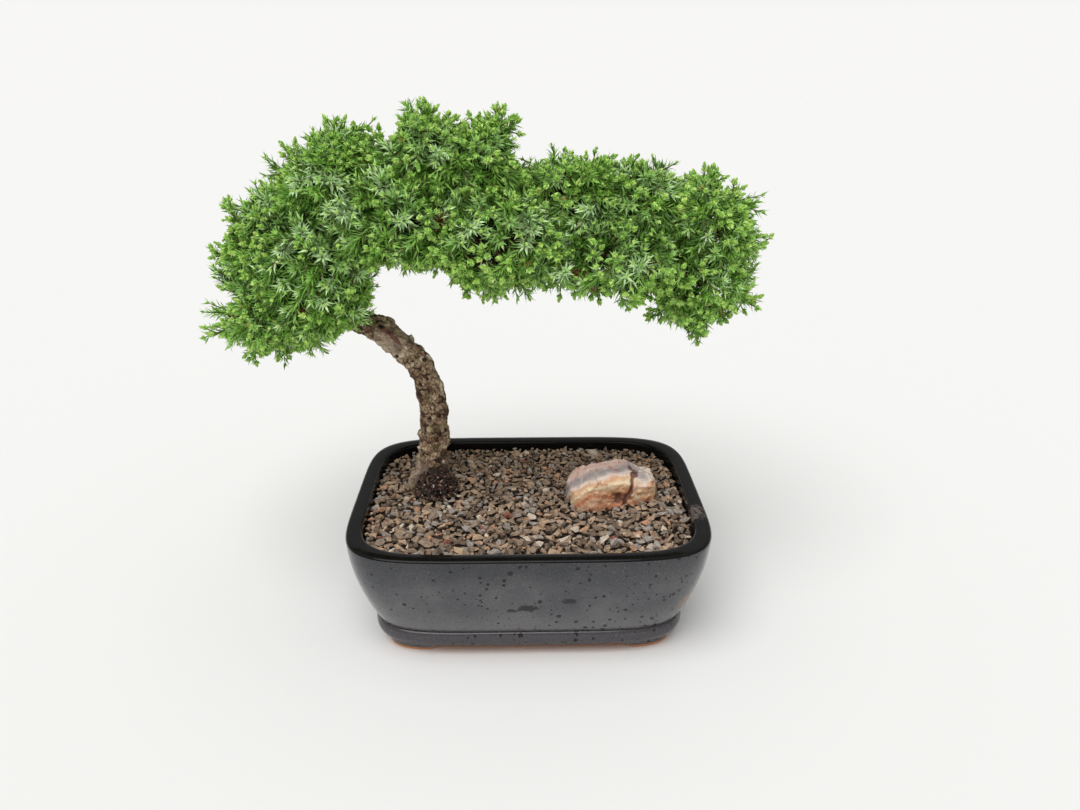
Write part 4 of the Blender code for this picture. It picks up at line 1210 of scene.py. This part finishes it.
def bark_height(angle, run, radius):
    """Height of the bark in millimetres, its tone from 0 to 1, and how near a knot is."""
    place = Vector((math.cos(angle) * 8, math.sin(angle) * 8, run * FLAKE_STRETCH))
    lump = noise.noise(place / 5.5)
    warped = place + 0.8 * noise.noise_vector(place / 2.2)
    distances, nearest = noise.voronoi(warped / FLAKE_SIZE)
    edge = min(1.0, (distances[1] - distances[0]) / 0.30)
    level = noise.cell(nearest[0] * 7.3 + Vector((3.1, 0.7, 5.9)))
    curl = (warped / FLAKE_SIZE - nearest[0]).dot(Vector((0.2, 0.3, 0.9)))
    pit = noise.noise(place / 2.1)
    grit = noise.noise(place / 0.8)
    flake = 0.55 * edge * (0.4 + 0.6 * level) + 0.35 * curl * edge + 0.30 * pit + 0.18 * grit
    proud = 7.0 * max(0.0, level - 0.8) * edge
    height = 1.1 * lump + 1.8 * flake + 1.1 * proud
    # The tone follows the flakes' relief, darker where it is low: partly painted shade.
    tone = 0.24 + 0.62 * flake + 0.12 * lump + 0.12 * level
    knot = 0.0
    for knot_run, knot_angle, size in KNOTS:
        turn = (angle - knot_angle + math.pi) % (2 * math.pi) - math.pi
        away = math.hypot(turn * radius, run - knot_run) / size
        if away < 2.2:
            ring = math.exp(-((away - 0.6) ** 2) / 0.12)
            height += 1.2 * ring - 0.9 * math.exp(-((away / 0.38) ** 2))
            tone += 0.20 * ring
            knot = max(knot, 1 - smooth_step(np.float64(away), 0.22, 0.62))
    return height, tone, knot


def base_radius(centre, radius, angle):
    """Radius with the lumps of the old wood and the roots that spread from the trunk's foot."""
    place = (math.cos(angle) + centre[0] / LUMP_LENGTH, math.sin(angle), centre[2] / LUMP_LENGTH)
    radius = radius * (1 + STEM_LUMPS * 2 * noise.noise(place))
    fall = math.exp(-max(centre[2] - SOIL_TOP, 0) / FLARE_HEIGHT)
    radius += FLARE * fall
    for azimuth, width, rise, sharpness in ROOTS:
        toward = max(0.0, math.cos(angle - math.radians(azimuth)))
        radius += width * math.exp(-max(centre[2] - SOIL_TOP, 0) / rise) * toward**sharpness
    return radius


def bark_mesh(limbs, sides):
    """One mesh with the bark's relief over all the limbs, each a closed tapering tube."""
    whole = bmesh.new()
    numbers = []
    for number, limb in enumerate(limbs):
        run = run_along(limb.points) + BARK_SHIFT * number
        rings = []
        for centre, radius, side, other, s in zip(limb.points, limb.radii, limb.sides, limb.others, run):
            ring = []
            rough = min(1.0, radius / 7.0)
            youth = 1 - float(smooth_step(radius, 3.4, 5.6))
            for angle in np.arange(sides) * 2 * math.pi / sides:
                height, tone, knot = bark_height(angle, s, radius)
                reach = base_radius(centre, radius, angle) + rough * (height - 0.35)
                ring.append(centre + (side * math.cos(angle) + other * math.sin(angle)) * reach)
                numbers.append((tone, knot, youth))
            rings.append(ring)
        join(whole, loft(rings))
    mesh = mesh_of(whole)
    add_numbers(mesh, ("relief", "knot", "young"), numbers)
    return mesh


def make_stem(bark):
    """Trunk, crook and leader under one skin of bark."""
    axis, radii, _ = whole_stem()
    foot = np.array(STEM_AXIS[0]) - (0, 0, STEM_SUNK)
    fine = np.vstack((foot, smooth_curve(STEM_AXIS, 24)))
    run = run_along(fine)
    stations = np.arange(0, run[-1], STEM_RING_STEP)
    points = resample(fine, stations)
    source_run = run_along(axis)
    shares = np.clip((stations - STEM_SUNK) / (run[-1] - STEM_SUNK), 0, 1)
    fine_radii = np.interp(shares * source_run[-1], source_run, radii)
    frames = frames_along(points)
    frames[0][0] = (0, 0, 1)
    frames[1][0] = (1, 0, 0)
    frames[2][0] = (0, 1, 0)
    stem = Limb(points, fine_radii, frames)
    set_piece("stem_bark", bark_mesh([stem], STEM_SIDES), [bark], list(STEM_LIMBS))


def plan_bough(index, mass, limbs):
    """The limb that carries a mass, from the stem's axis to where it enters the mass."""
    start, along, limb_radius = limbs[mass.limb].at(mass.station)
    heart = np.array(mass.centre, float)
    toward = unit(heart - start)
    outward = unit(toward - along * (toward @ along))
    end = start
    least = limb_radius + BOUGH_LEAST_LENGTH
    while reaches(end[None])[index, 0] > BOUGH_END_REACH or np.linalg.norm(end - start) < least:
        end = end + toward * BOUGH_STEP
    root_radius = min(BOUGH_SHARE * limb_radius, BOUGH_MOST_RADIUS)
    tip_radius = max(BOUGH_TAPER * root_radius, BOUGH_LEAST_TIP)
    points = bezier(start, outward + BOUGH_LEAN * along, toward, end, BOUGH_POINTS)
    radii = np.linspace(root_radius, tip_radius, BOUGH_POINTS)
    return Limb(points, radii)


def make_boughs(boughs, bark):
    """The bark of all the boughs."""
    fine = []
    for bough in boughs.values():
        curve = smooth_curve(bough.points, 8)
        points = resample(curve, np.linspace(0, run_along(curve)[-1], BOUGH_RINGS))
        radii = np.linspace(bough.radii[0], bough.radii[-1], BOUGH_RINGS)
        fine.append(Limb(points, radii))
    nodes = ["bough_" + name for name in boughs]
    set_piece("bough_bark", bark_mesh(fine, BOUGH_SIDES), [bark], nodes)


# Crown


def reaches(points):
    """How far out each point lies in every mass: 1 is at the end of the mass's space."""
    offsets = (points[None, :, :] - CENTRES[:, None, :]) / RADII[:, None, :]
    return np.linalg.norm(offsets, axis=2)


def in_own_space(index, points, border):
    """Which points lie in the mass's space and deeper in it than in any other."""
    every = reaches(points)
    own = every[index]
    nearest_other = np.delete(every, index, axis=0).min(axis=0)
    return (own < FINGER_MOST_REACH) & (nearest_other > own + border)


def outline_depth(points):
    """How far inside the crown's outline each point appears from the front, negative outside."""
    camera = np.array(CAMERA_PLACE)
    share = (FRONT_PLANE - camera[1]) / (points[:, 1] - camera[1])
    seen = (camera + (points - camera) * share[:, None])[:, [0, 2]]
    ends = np.roll(CROWN_OUTLINE, -1, axis=0)
    spans = ends - CROWN_OUTLINE
    offsets = seen[:, None] - CROWN_OUTLINE
    along = np.clip((offsets * spans).sum(axis=2) / (spans**2).sum(axis=1), 0, 1)
    away = np.linalg.norm(offsets - along[:, :, None] * spans, axis=2).min(axis=1)
    level = seen[:, 1:2]
    between = (CROWN_OUTLINE[:, 1] > level) != (ends[:, 1] > level)
    slope = spans[:, 0] / np.where(spans[:, 1] == 0, 1, spans[:, 1])
    crossing = CROWN_OUTLINE[:, 0] + slope * (level - CROWN_OUTLINE[:, 1])
    inside = (between & (seen[:, 0:1] < crossing)).sum(axis=1) % 2 == 1
    return np.where(inside, away, -away)


def finger_tips(index):
    """Tips of the shoots of one mass that stand out from the crown's outline."""
    camera = np.array(CAMERA_PLACE)
    tips = []
    for x, z in FINGERS:
        seen = np.array((x, FRONT_PLANE, z), float)
        depths = (CENTRES[:, 1] - camera[1]) / (FRONT_PLANE - camera[1])
        places = camera + (seen - camera) * depths[:, None]
        reach = np.linalg.norm((places - CENTRES) / RADII, axis=1)
        if int(np.argmin(reach)) == index:
            draw = min(1.0, FINGER_MOST_REACH / reach[index])
            tips.append(CENTRES[index] + (places[index] - CENTRES[index]) * draw)
    return tips


class Clearance:
    """Distances from points to the bark of all the limbs."""

    def __init__(self, limbs):
        self.starts = np.vstack([limb.points[:-1] for limb in limbs])
        self.spans = np.vstack([np.diff(limb.points, axis=0) for limb in limbs])
        self.radii = np.concatenate([np.maximum(limb.radii[:-1], limb.radii[1:]) for limb in limbs])
        self.radii = self.radii * (1 + STEM_LUMPS)

    def gaps(self, points):
        """The least distance from each point to bark."""
        offsets = points[:, None, :] - self.starts[None]
        share = (offsets * self.spans).sum(axis=2) / (self.spans**2).sum(axis=1)
        nearest = self.starts + np.clip(share, 0, 1)[:, :, None] * self.spans
        away = np.linalg.norm(points[:, None, :] - nearest, axis=2)
        return (away - self.radii).min(axis=1)


def golden_directions(count, turn):
    """Directions spread evenly all round."""
    i = np.arange(count)
    z = 1 - 2 * (i + 0.5) / count
    across = np.sqrt(1 - z * z)
    angle = i * GOLDEN_ANGLE + turn
    return np.column_stack((across * np.cos(angle), across * np.sin(angle), z))


def draw_in(index, direction, reach, least, clearance):
    """The furthest point in a direction in the mass's space and the outline, clear of limbs."""
    while reach >= least:
        point = CENTRES[index] + direction * RADII[index] * reach
        inside = in_own_space(index, point[None], TWIG_BORDER)[0]
        inside = inside and outline_depth(point[None])[0] > OUTLINE_DEPTH
        if inside and clearance.gaps(point[None])[0] > TARGET_CLEARANCE:
            return point
        reach -= REACH_STEP
    return None


class Joints:
    """Places on the twigs of a mass that a new shoot may leave from."""

    def __init__(self, places, directions):
        self.places = list(places)
        self.directions = list(directions)

    def best(self, target):
        """The place that a shoot to the target would most likely leave from."""
        places = np.array(self.places)
        directions = np.array(self.directions)
        offsets = target - places
        lengths = np.linalg.norm(offsets, axis=1)
        onward = (offsets * directions).sum(axis=1) / np.maximum(lengths, 1e-6)
        chosen = int(np.argmin(lengths * (SHOOT_TURN_COST - onward)))
        return places[chosen], directions[chosen]

    def add(self, path, points):
        """Let later shoots leave from some points of a path."""
        for k in points:
            self.places.append(path[k])
            self.directions.append(unit(path[k + 1] - path[k - 1]))


def plan_twigs(index, mass, bough, clearance):
    """Paths of one mass: its stem, its scaffold, the sprays that show, and fillers inside."""
    rng = random.Random(mass.name)
    start = bough.points[-1]
    heart = CENTRES[index]
    stem = bezier(start - bough.along[-1] * 2, bough.along[-1], heart - start, heart, SHOOT_POINTS)
    run = run_along(stem)
    along = frames_along(stem)[0]
    leafy = run > BARE_STEM_SHARE * run[-1]
    joints = Joints(stem[leafy], along[leafy])

    def grow(targets, points):
        """Paths to the targets from the best joints, which offer new joints in turn."""
        paths = []
        for target in targets:
            place, direction = joints.best(target)
            radial = unit(target - heart)
            outward = unit(radial + np.array((0, 0, SHOOT_LIFT * (1 - abs(radial[2])))))
            leave = unit(target - place) + SHOOT_FOLLOW * direction
            path = bezier(place, leave, outward, target, SHOOT_POINTS)
            if (clearance.gaps(path[2:]) > TWIG_CLEARANCE).all():
                paths.append(path)
                joints.add(path, points)
        return paths

    def aim(count, reach, least, turn, swell=0.0):
        """Targets in even directions at reaches dealt out at random, over swellings and dips."""
        targets = []
        for direction in golden_directions(count, turn):
            wave = noise.noise(Vector(direction) / SWELL_LENGTH + Vector((index * 3.7, 0, 0)))
            furthest = min(MOST_REACH, rng.uniform(*reach) + swell * wave)
            target = draw_in(index, direction, furthest, least, clearance)
            if target is not None:
                targets.append(target)
        return targets

    scaffold = grow(aim(SCAFFOLDS, SCAFFOLD_REACH, 0.3, 0.0), (3, 4, 5, 6))
    area = 4 * math.pi * np.prod(RADII[index]) ** (2 / 3)
    shown = finger_tips(index) + aim(int(area / SPRAY_AREA), SPRAY_REACH, LEAST_REACH, 1.0, SWELL)
    sprays = grow(shown, (3, 4))
    fillers = grow(aim(FILLERS, FILLER_REACH, 0.35, 2.0), (4,))
    return [stem] + scaffold, sprays, fillers


def spray_axes(paths):
    """The leafy ends of the paths, as one array of equally many points each."""
    axes = []
    for path in paths:
        run = run_along(path)
        spray = min(SPRAY_LENGTH, SPRAY_MOST_SHARE * run[-1])
        axes.append(resample(path, np.linspace(run[-1] - spray, run[-1], AXIS_POINTS)))
    return np.array(axes)


def axis_frames(axes):
    """Directions along many axes at once, and side directions that turn no more than they do."""
    along = np.gradient(axes, axis=1)
    along /= np.linalg.norm(along, axis=2, keepdims=True)
    side = np.cross(along[:, 0], (0.31, 0.19, 0.93))
    sides = np.empty_like(axes)
    for k in range(axes.shape[1]):
        side = side - along[:, k] * (side * along[:, k]).sum(axis=1, keepdims=True)
        side /= np.linalg.norm(side, axis=1, keepdims=True)
        sides[:, k] = side
    return along, sides, np.cross(along, sides)


def at_shares(values, shares):
    """Values of many axes at shares of their points."""
    where = np.asarray(shares) * (values.shape[1] - 1)
    first = np.minimum(where.astype(int), values.shape[1] - 2)
    rest = (where - first)[None, :, None]
    return values[:, first] * (1 - rest) + values[:, first + 1] * rest


def side_axes(axes, shares, lengths, rng):
    """Short side shoots on each spray, shorter toward its tip, that turn up a little."""
    along, sides, others = axis_frames(axes)
    shares = np.linspace(*shares, SIDE_SHOOTS)
    size = (len(axes), SIDE_SHOOTS, 1)
    forward = at_shares(along, shares)
    angles = np.arange(SIDE_SHOOTS)[None, :, None] * GOLDEN_ANGLE
    angles = angles + rng.uniform(0, 2 * math.pi, (len(axes), 1, 1)) + rng.normal(0, 0.25, size)
    radial = at_shares(sides, shares) * np.cos(angles) + at_shares(others, shares) * np.sin(angles)
    spread = np.radians(rng.uniform(34, 54, size))
    direction = forward * np.cos(spread) + radial * np.sin(spread)
    length = np.linspace(*lengths, SIDE_SHOOTS)[None, :, None] * rng.uniform(0.7, 1.2, size)
    rise = forward * 0.35 + np.array((0, 0, 0.22))
    steps = np.linspace(0, 1, SIDE_POINTS)[None, None, :, None]
    bends = direction[:, :, None] * steps + rise[:, :, None] * steps**2 * 0.5
    points = at_shares(axes, shares)[:, :, None] + length[:, :, None] * bends
    return points.reshape(-1, SIDE_POINTS, 3), np.repeat(np.arange(len(axes)), SIDE_SHOOTS)


def needle_shape():
    """A needle of length, width and thickness one: which of its triangles face up is told too."""
    points, triangles = hull_shape(((0, 0, 0), (0, 0.12, 1), (0.5, 0.3, 0.45), (-0.5, 0.3, 0.45)))
    wing = np.abs(points[:, 0]) > 0.4
    return points, triangles, wing[triangles].sum(axis=1) == 2


def scale_shape():
    """A plump young leaf of length and width one."""
    corners = ((0, 0, 0), (0, 0.15, 1), (0.5, -0.1, 0.5), (-0.5, -0.1, 0.5), (0, 0.55, 0.45))
    return hull_shape(corners)


NEEDLE_POINTS, NEEDLE_TRIANGLES, NEEDLE_UPPER = needle_shape()
SCALE_POINTS, SCALE_TRIANGLES = scale_shape()


class Leaves:
    """The needles and young leaves of one mass, gathered before they become a mesh."""

    def __init__(self, rng, clearance, shoots):
        self.rng = rng
        self.clearance = clearance
        self.shoots = shoots
        self.needles = []
        self.scales = []

    def whorls(self, axes, shares, spread, lengths, lower, upper):
        """Whorls of three at shares of every axis, as rows, leaning out by angles in degrees."""
        along, sides, others = axis_frames(axes)
        size = (len(axes), len(shares), 3, 1)
        turn = np.arange(size[1])[None, :, None, None] * math.pi / 3
        turn = turn + np.arange(3)[None, None, :, None] * 2 * math.pi / 3
        turn = turn + self.rng.uniform(0, 2 * math.pi, (size[0], 1, 1, 1)) + self.rng.normal(0, 0.1, size)
        forward = at_shares(along, shares)[:, :, None]
        radial = at_shares(sides, shares)[:, :, None] * np.cos(turn)
        radial = radial + at_shares(others, shares)[:, :, None] * np.sin(turn)
        lean = np.radians(np.linspace(*spread, size[1])[None, :, None, None] + self.rng.normal(0, 5, size))
        direction = forward * np.cos(lean) + radial * np.sin(lean) + np.array((0, 0, 0.08))
        direction /= np.linalg.norm(direction, axis=3, keepdims=True)
        normal = forward * np.sin(lean) - radial * np.cos(lean)
        normal -= direction * (normal * direction).sum(axis=3, keepdims=True)
        normal /= np.linalg.norm(normal, axis=3, keepdims=True)
        place = np.broadcast_to(at_shares(axes, shares)[:, :, None], direction.shape)
        length = np.linspace(*lengths, size[1])[None, :, None, None] * self.rng.uniform(0.82, 1.15, size)
        tints = [np.broadcast_to(np.reshape(tint, (-1, 1, 1, 1)), size) for tint in (lower, upper)]
        row = (place, direction, normal, length, *tints)
        return np.hstack([part.reshape(-1, part.shape[-1]) for part in row])

    def add_needles(self, *whorls):
        """Grow needles, whose tints are their lower and upper sides."""
        self.needles.append(self.whorls(*whorls))

    def add_scales(self, axes, shares, spread, lengths, tints):
        """Grow plump young leaves, each of a tint dealt from the tints."""
        rows = self.whorls(axes, shares, spread, lengths, 0, 0)
        rows[:, 10] = self.rng.choice(tints, len(rows))
        self.scales.append(rows)

    def keep(self, rows):
        """Leave out what reaches beyond the crown or touches a limb."""
        tips = rows[:, 0:3] + rows[:, 3:6] * rows[:, 9:10]
        kept = reaches(tips).min(axis=0) < OUTER_REACH
        kept &= reaches(rows[:, 0:3]).min(axis=0) < OUTER_REACH
        for first in range(0, len(tips), 8000):
            part = slice(first, first + 8000)
            kept[part] &= self.clearance.gaps(tips[part]) > LEAF_CLEARANCE
        return rows[kept]

    def deal(self, axes, sunk, outer):
        """A tint for each spray, from the first few, darker as painted shade, for those whose tips lie deep
        in the crown.
        """
        deep = reaches(axes[:, -1]).min(axis=0) < SUNK_REACH
        deep &= outline_depth(axes[:, -1]) > EDGE_DEPTH
        return np.where(deep, self.rng.choice(sunk, len(axes)), self.rng.choice(outer, len(axes)))

    def side_shoots(self, axes, shares, lengths):
        """Green side shoots that stay in the crown and clear of limbs, and whose sprays they are."""
        side, owner = side_axes(axes, shares, lengths, self.rng)
        kept = reaches(side[:, -1]).min(axis=0) < SIDE_REACH
        kept &= self.clearance.gaps(side[:, -1]) > TWIG_CLEARANCE
        self.shoots.add(*tubes(side[kept], *SHOOT_RADII), 0)
        return side[kept], owner[kept]

    def shaped(self, rows, shape, width):
        """Copies of a shape at the rows' places, of their length and so much width."""
        place, direction, normal, length = rows[:, 0:3], rows[:, 3:6], rows[:, 6:9], rows[:, 9:10]
        across = np.cross(normal, direction)
        return (
            place[:, None]
            + shape[None, :, 0:1] * (across * width)[:, None]
            + shape[None, :, 1:2] * (normal * width)[:, None]
            + shape[None, :, 2:3] * (direction * length)[:, None]
        )

    def heap(self):
        """All of them as closed shapes."""
        heap = Heap()
        rows = self.keep(np.vstack(self.needles))
        width = NEEDLE_WIDTH * np.clip(rows[:, 9:10] / 6.5, 0.75, 1.1)
        tints = np.where(NEEDLE_UPPER[None, :], rows[:, 11:12], rows[:, 10:11])
        heap.add(self.shaped(rows, NEEDLE_POINTS, width), NEEDLE_TRIANGLES, tints)
        rows = self.keep(np.vstack(self.scales))
        width = SCALE_WIDTH * rows[:, 9:10]
        heap.add(self.shaped(rows, SCALE_POINTS, width), SCALE_TRIANGLES, rows[:, 10:11])
        return heap


def tube_triangles(rings, sides):
    """Triangles of a closed tube whose points are counted ring by ring."""
    turn = 2 * math.pi / sides
    circle = [(math.cos(i * turn), math.sin(i * turn)) for i in range(sides)]
    bm = loft([[(x, y, level) for x, y in circle] for level in range(rings)])
    bmesh.ops.triangulate(bm, faces=bm.faces)
    bmesh.ops.recalc_face_normals(bm, faces=bm.faces)
    triangles = []
    for face in bm.faces:
        around = [round(math.atan2(vert.co.y, vert.co.x) / turn) % sides for vert in face.verts]
        levels = [round(vert.co.z) for vert in face.verts]
        triangles.append([level * sides + side for level, side in zip(levels, around)])
    bm.free()
    return np.array(triangles)


def tubes(axes, first_radius, last_radius, sides=3):
    """Tapering closed tubes round many axes: points and one list of triangles."""
    n, k = axes.shape[:2]
    _, side, other = axis_frames(axes)
    radii = np.linspace(first_radius, last_radius, k)[None, :, None, None]
    angle = (np.arange(sides) * 2 * math.pi / sides)[None, None, :, None]
    rings = axes[:, :, None] + radii * (side[:, :, None] * np.cos(angle) + other[:, :, None] * np.sin(angle))
    return rings.reshape(n, k * sides, 3), tube_triangles(k, sides)


def dress_silver(leaves, axes):
    """Sprays of full-grown needles: silvery above, green below, with a small star at the tip."""
    # Sprays deep in the crown take darker tints, as painted shade.
    lower = leaves.deal(axes, (INNER_SHADE, INNER_SHADE, DEEP, DEEP, DEEP, MID, MID, DRY), (DEEP, MID, MID, LIGHT))
    upper = leaves.deal(axes, (DEEP, MID, SILVER_DEEP), (SILVER, SILVER, SILVER_DEEP, LIGHT))
    leaves.add_needles(axes, np.linspace(0.03, 0.94, 14), (56, 36), (7.4, 6.0), lower, upper)
    leaves.add_needles(axes, (0.97, 1.0), (28, 12), (4.6, 3.6), lower, upper)
    leaves.add_scales(axes, (1.0,), (20, 20), (2.4, 2.4), (FRESH, TIP))
    side, owner = leaves.side_shoots(axes, (0.12, 0.86), (13.0, 7.0))
    leaves.add_needles(side, np.linspace(0.2, 0.95, 4), (52, 30), (6.8, 5.2), lower[owner], upper[owner])
    leaves.add_scales(side, (1.0,), (24, 24), (2.3, 2.3), (FRESH, TIP))


def dress_fresh(leaves, axes):
    """Sprays whose ends are this year's growth: short columns of plump yellow-green leaves."""
    # Sprays deep in the crown take darker tints, as painted shade.
    lower = leaves.deal(axes, (DEEP, DEEP, MID), (MID, MID, LIGHT))
    upper = leaves.deal(axes, (MID, MID, LIGHT), (SILVER_DEEP, SILVER_DEEP, LIGHT))
    leaves.add_needles(axes, np.linspace(0.03, 0.80, 11), (55, 38), (7.2, 5.4), lower, upper)
    leaves.add_scales(axes, np.linspace(0.84, 1.0, 5), (46, 14), (3.3, 2.3), (LIGHT, FRESH, TIP))
    side, owner = leaves.side_shoots(axes, (0.30, 0.92), (10.0, 5.0))
    leaves.add_needles(side, (0.3, 0.6), (54, 42), (6.0, 4.8), lower[owner], upper[owner])
    leaves.add_scales(side, np.linspace(0.72, 1.0, 3), (44, 16), (3.0, 2.2), (LIGHT, FRESH, TIP))
    buds = axes[leaves.rng.uniform(0, 1, len(axes)) < BUD_SHARE]
    leaves.add_scales(buds, (0.93, 0.99), (36, 16), (2.8, 2.3), (BUD, BUD, DRY))


def make_mass(index, mass, bough, clearance, needle_materials, twigs, shoots):
    """The needles of one mass as a piece, and its wood, added to the heaps of twigs and shoots."""
    rng = np.random.default_rng(FOLIAGE_SEED + index)
    limbs, sprays, fillers = plan_twigs(index, mass, bough, clearance)
    leaves = Leaves(rng, clearance, shoots)
    axes = spray_axes(sprays)
    at_edge = outline_depth(axes[:, -1]) < EDGE_DEPTH
    fresh = rng.uniform(0, 1, len(axes)) < np.where(at_edge, EDGE_FRESH_SHARE, FRESH_SHARE)
    dress_silver(leaves, axes[~fresh])
    dress_fresh(leaves, axes[fresh])
    inner = spray_axes(fillers)
    # The fillers inside take mostly the darkest tint, as painted shade, with a few dry needles.
    tints = rng.choice((INNER_SHADE, INNER_SHADE, INNER_SHADE, INNER_SHADE, INNER_SHADE, DEEP, DRY), len(inner))
    leaves.add_needles(inner, np.linspace(0.1, 1.0, 13), (66, 30), (8.0, 6.5), tints, tints)
    nodes = ["foliage_" + mass.name]
    set_piece("needles_" + mass.name, leaves.heap().mesh(), needle_materials, nodes)
    twigs.add(*tubes(np.array(limbs), *LIMB_RADII), BROWN_TWIG)
    twigs.add(*tubes(np.array(fillers), *FILLER_RADII), BROWN_TWIG)
    twigs.add(*tubes(np.array(sprays), *SPRAY_RADII), GREEN_TWIG)


def make_foliage(limbs, boughs):
    """Every mass of needles, all the twigs, and all the green shoots that they bear."""
    clearance = Clearance(list(limbs.values()) + list(boughs.values()))
    needle_materials = [needle_finish(*tint) for tint in NEEDLE_TINTS]
    twigs = Heap()
    shoots = Heap()
    for index, mass in enumerate(MASSES):
        bough = boughs.get(mass.name, limbs[mass.limb])
        make_mass(index, mass, bough, clearance, needle_materials, twigs, shoots)
    materials = [grain_finish(*tint) for tint in TWIG_TINTS]
    set_piece("twigs", twigs.mesh(), materials)
    set_piece("green_shoots", shoots.mesh(), materials[GREEN_TWIG:])


# Studio


def make_floor():
    """A plain pale floor."""
    bm = bmesh.new()
    bmesh.ops.create_grid(bm, x_segments=1, y_segments=1, size=FLOOR_SIZE)
    floor = add_object("floor", to_mesh(bm, "floor"))
    finish = Finish("pale_floor", 1.0, 0.0)
    finish.colour((0.82, 0.82, 0.81))
    floor.data.materials.append(finish.material)


def make_sky():
    """Soft light from all round, dimmest a little above level."""
    world = bpy.data.worlds.new("soft_sky")
    bpy.context.scene.world = world
    world.use_nodes = True
    tree = world.node_tree
    place = tree.nodes.new("ShaderNodeTexCoord")
    height = tree.nodes.new("ShaderNodeSeparateXYZ")
    ramp = tree.nodes.new("ShaderNodeValToRGB")
    tree.links.new(place.outputs["Generated"], height.inputs[0])
    tree.links.new(height.outputs["Z"], ramp.inputs[0])
    tree.links.new(ramp.outputs["Color"], tree.nodes["Background"].inputs["Color"])
    elements = ramp.color_ramp.elements
    elements.new(0.3)
    for element, (position, level) in zip(elements, SKY_LEVELS):
        element.position = position
        element.color = (*(level * part for part in SKY_TINT), 1.0)


def make_sun():
    """A wide soft sun from above."""
    light = bpy.data.lights.new("soft_sun", "SUN")
    light.energy = SUN_STRENGTH
    light.angle = math.radians(SUN_WIDTH)
    lamp = add_object("soft_sun", light)
    lamp.rotation_euler = (-Vector(SUN_PLACE)).to_track_quat("-Z", "Y").to_euler()
    bpy.context.scene.view_settings.view_transform = "Standard"


def make_camera():
    """The camera, in front of the pot and above it."""
    camera = add_object("camera", bpy.data.cameras.new("camera"))
    camera.data.lens = CAMERA_LENS
    camera.data.sensor_width = SENSOR_WIDTH
    pitch, yaw, roll = (math.radians(a) for a in (CAMERA_PITCH, CAMERA_YAW, CAMERA_ROLL))
    forward = Vector((math.sin(yaw) * math.cos(pitch), math.cos(yaw) * math.cos(pitch), -math.sin(pitch)))
    right = Vector((math.cos(yaw), -math.sin(yaw), 0))
    up = right.cross(forward)
    right, up = right * math.cos(roll) + up * math.sin(roll), up * math.cos(roll) - right * math.sin(roll)
    turn = Matrix((right, up, -forward)).transposed().to_4x4()
    camera.matrix_world = Matrix.Translation(to_frame(CAMERA_PLACE)) @ turn
    bpy.context.scene.camera = camera


def main():
    """Dress the whole object."""
    noise.seed_set(FLAKE_SEED)
    make_camera()
    make_floor()
    make_sky()
    make_sun()
    make_pot()
    soil = grain_finish("moist_soil", (0.012, 0.008, 0.006), (0.045, 0.031, 0.023))
    make_bed(soil)
    make_gravel()
    make_crumbs(soil)
    make_rock()
    limbs = divide_stem()
    boughs = {}
    for index, mass in enumerate(MASSES):
        if mass.station < 1:
            boughs[mass.name] = plan_bough(index, mass, limbs)
    bark = bark_finish()
    make_stem(bark)
    make_boughs(boughs, bark)
    make_foliage(limbs, boughs)


main()
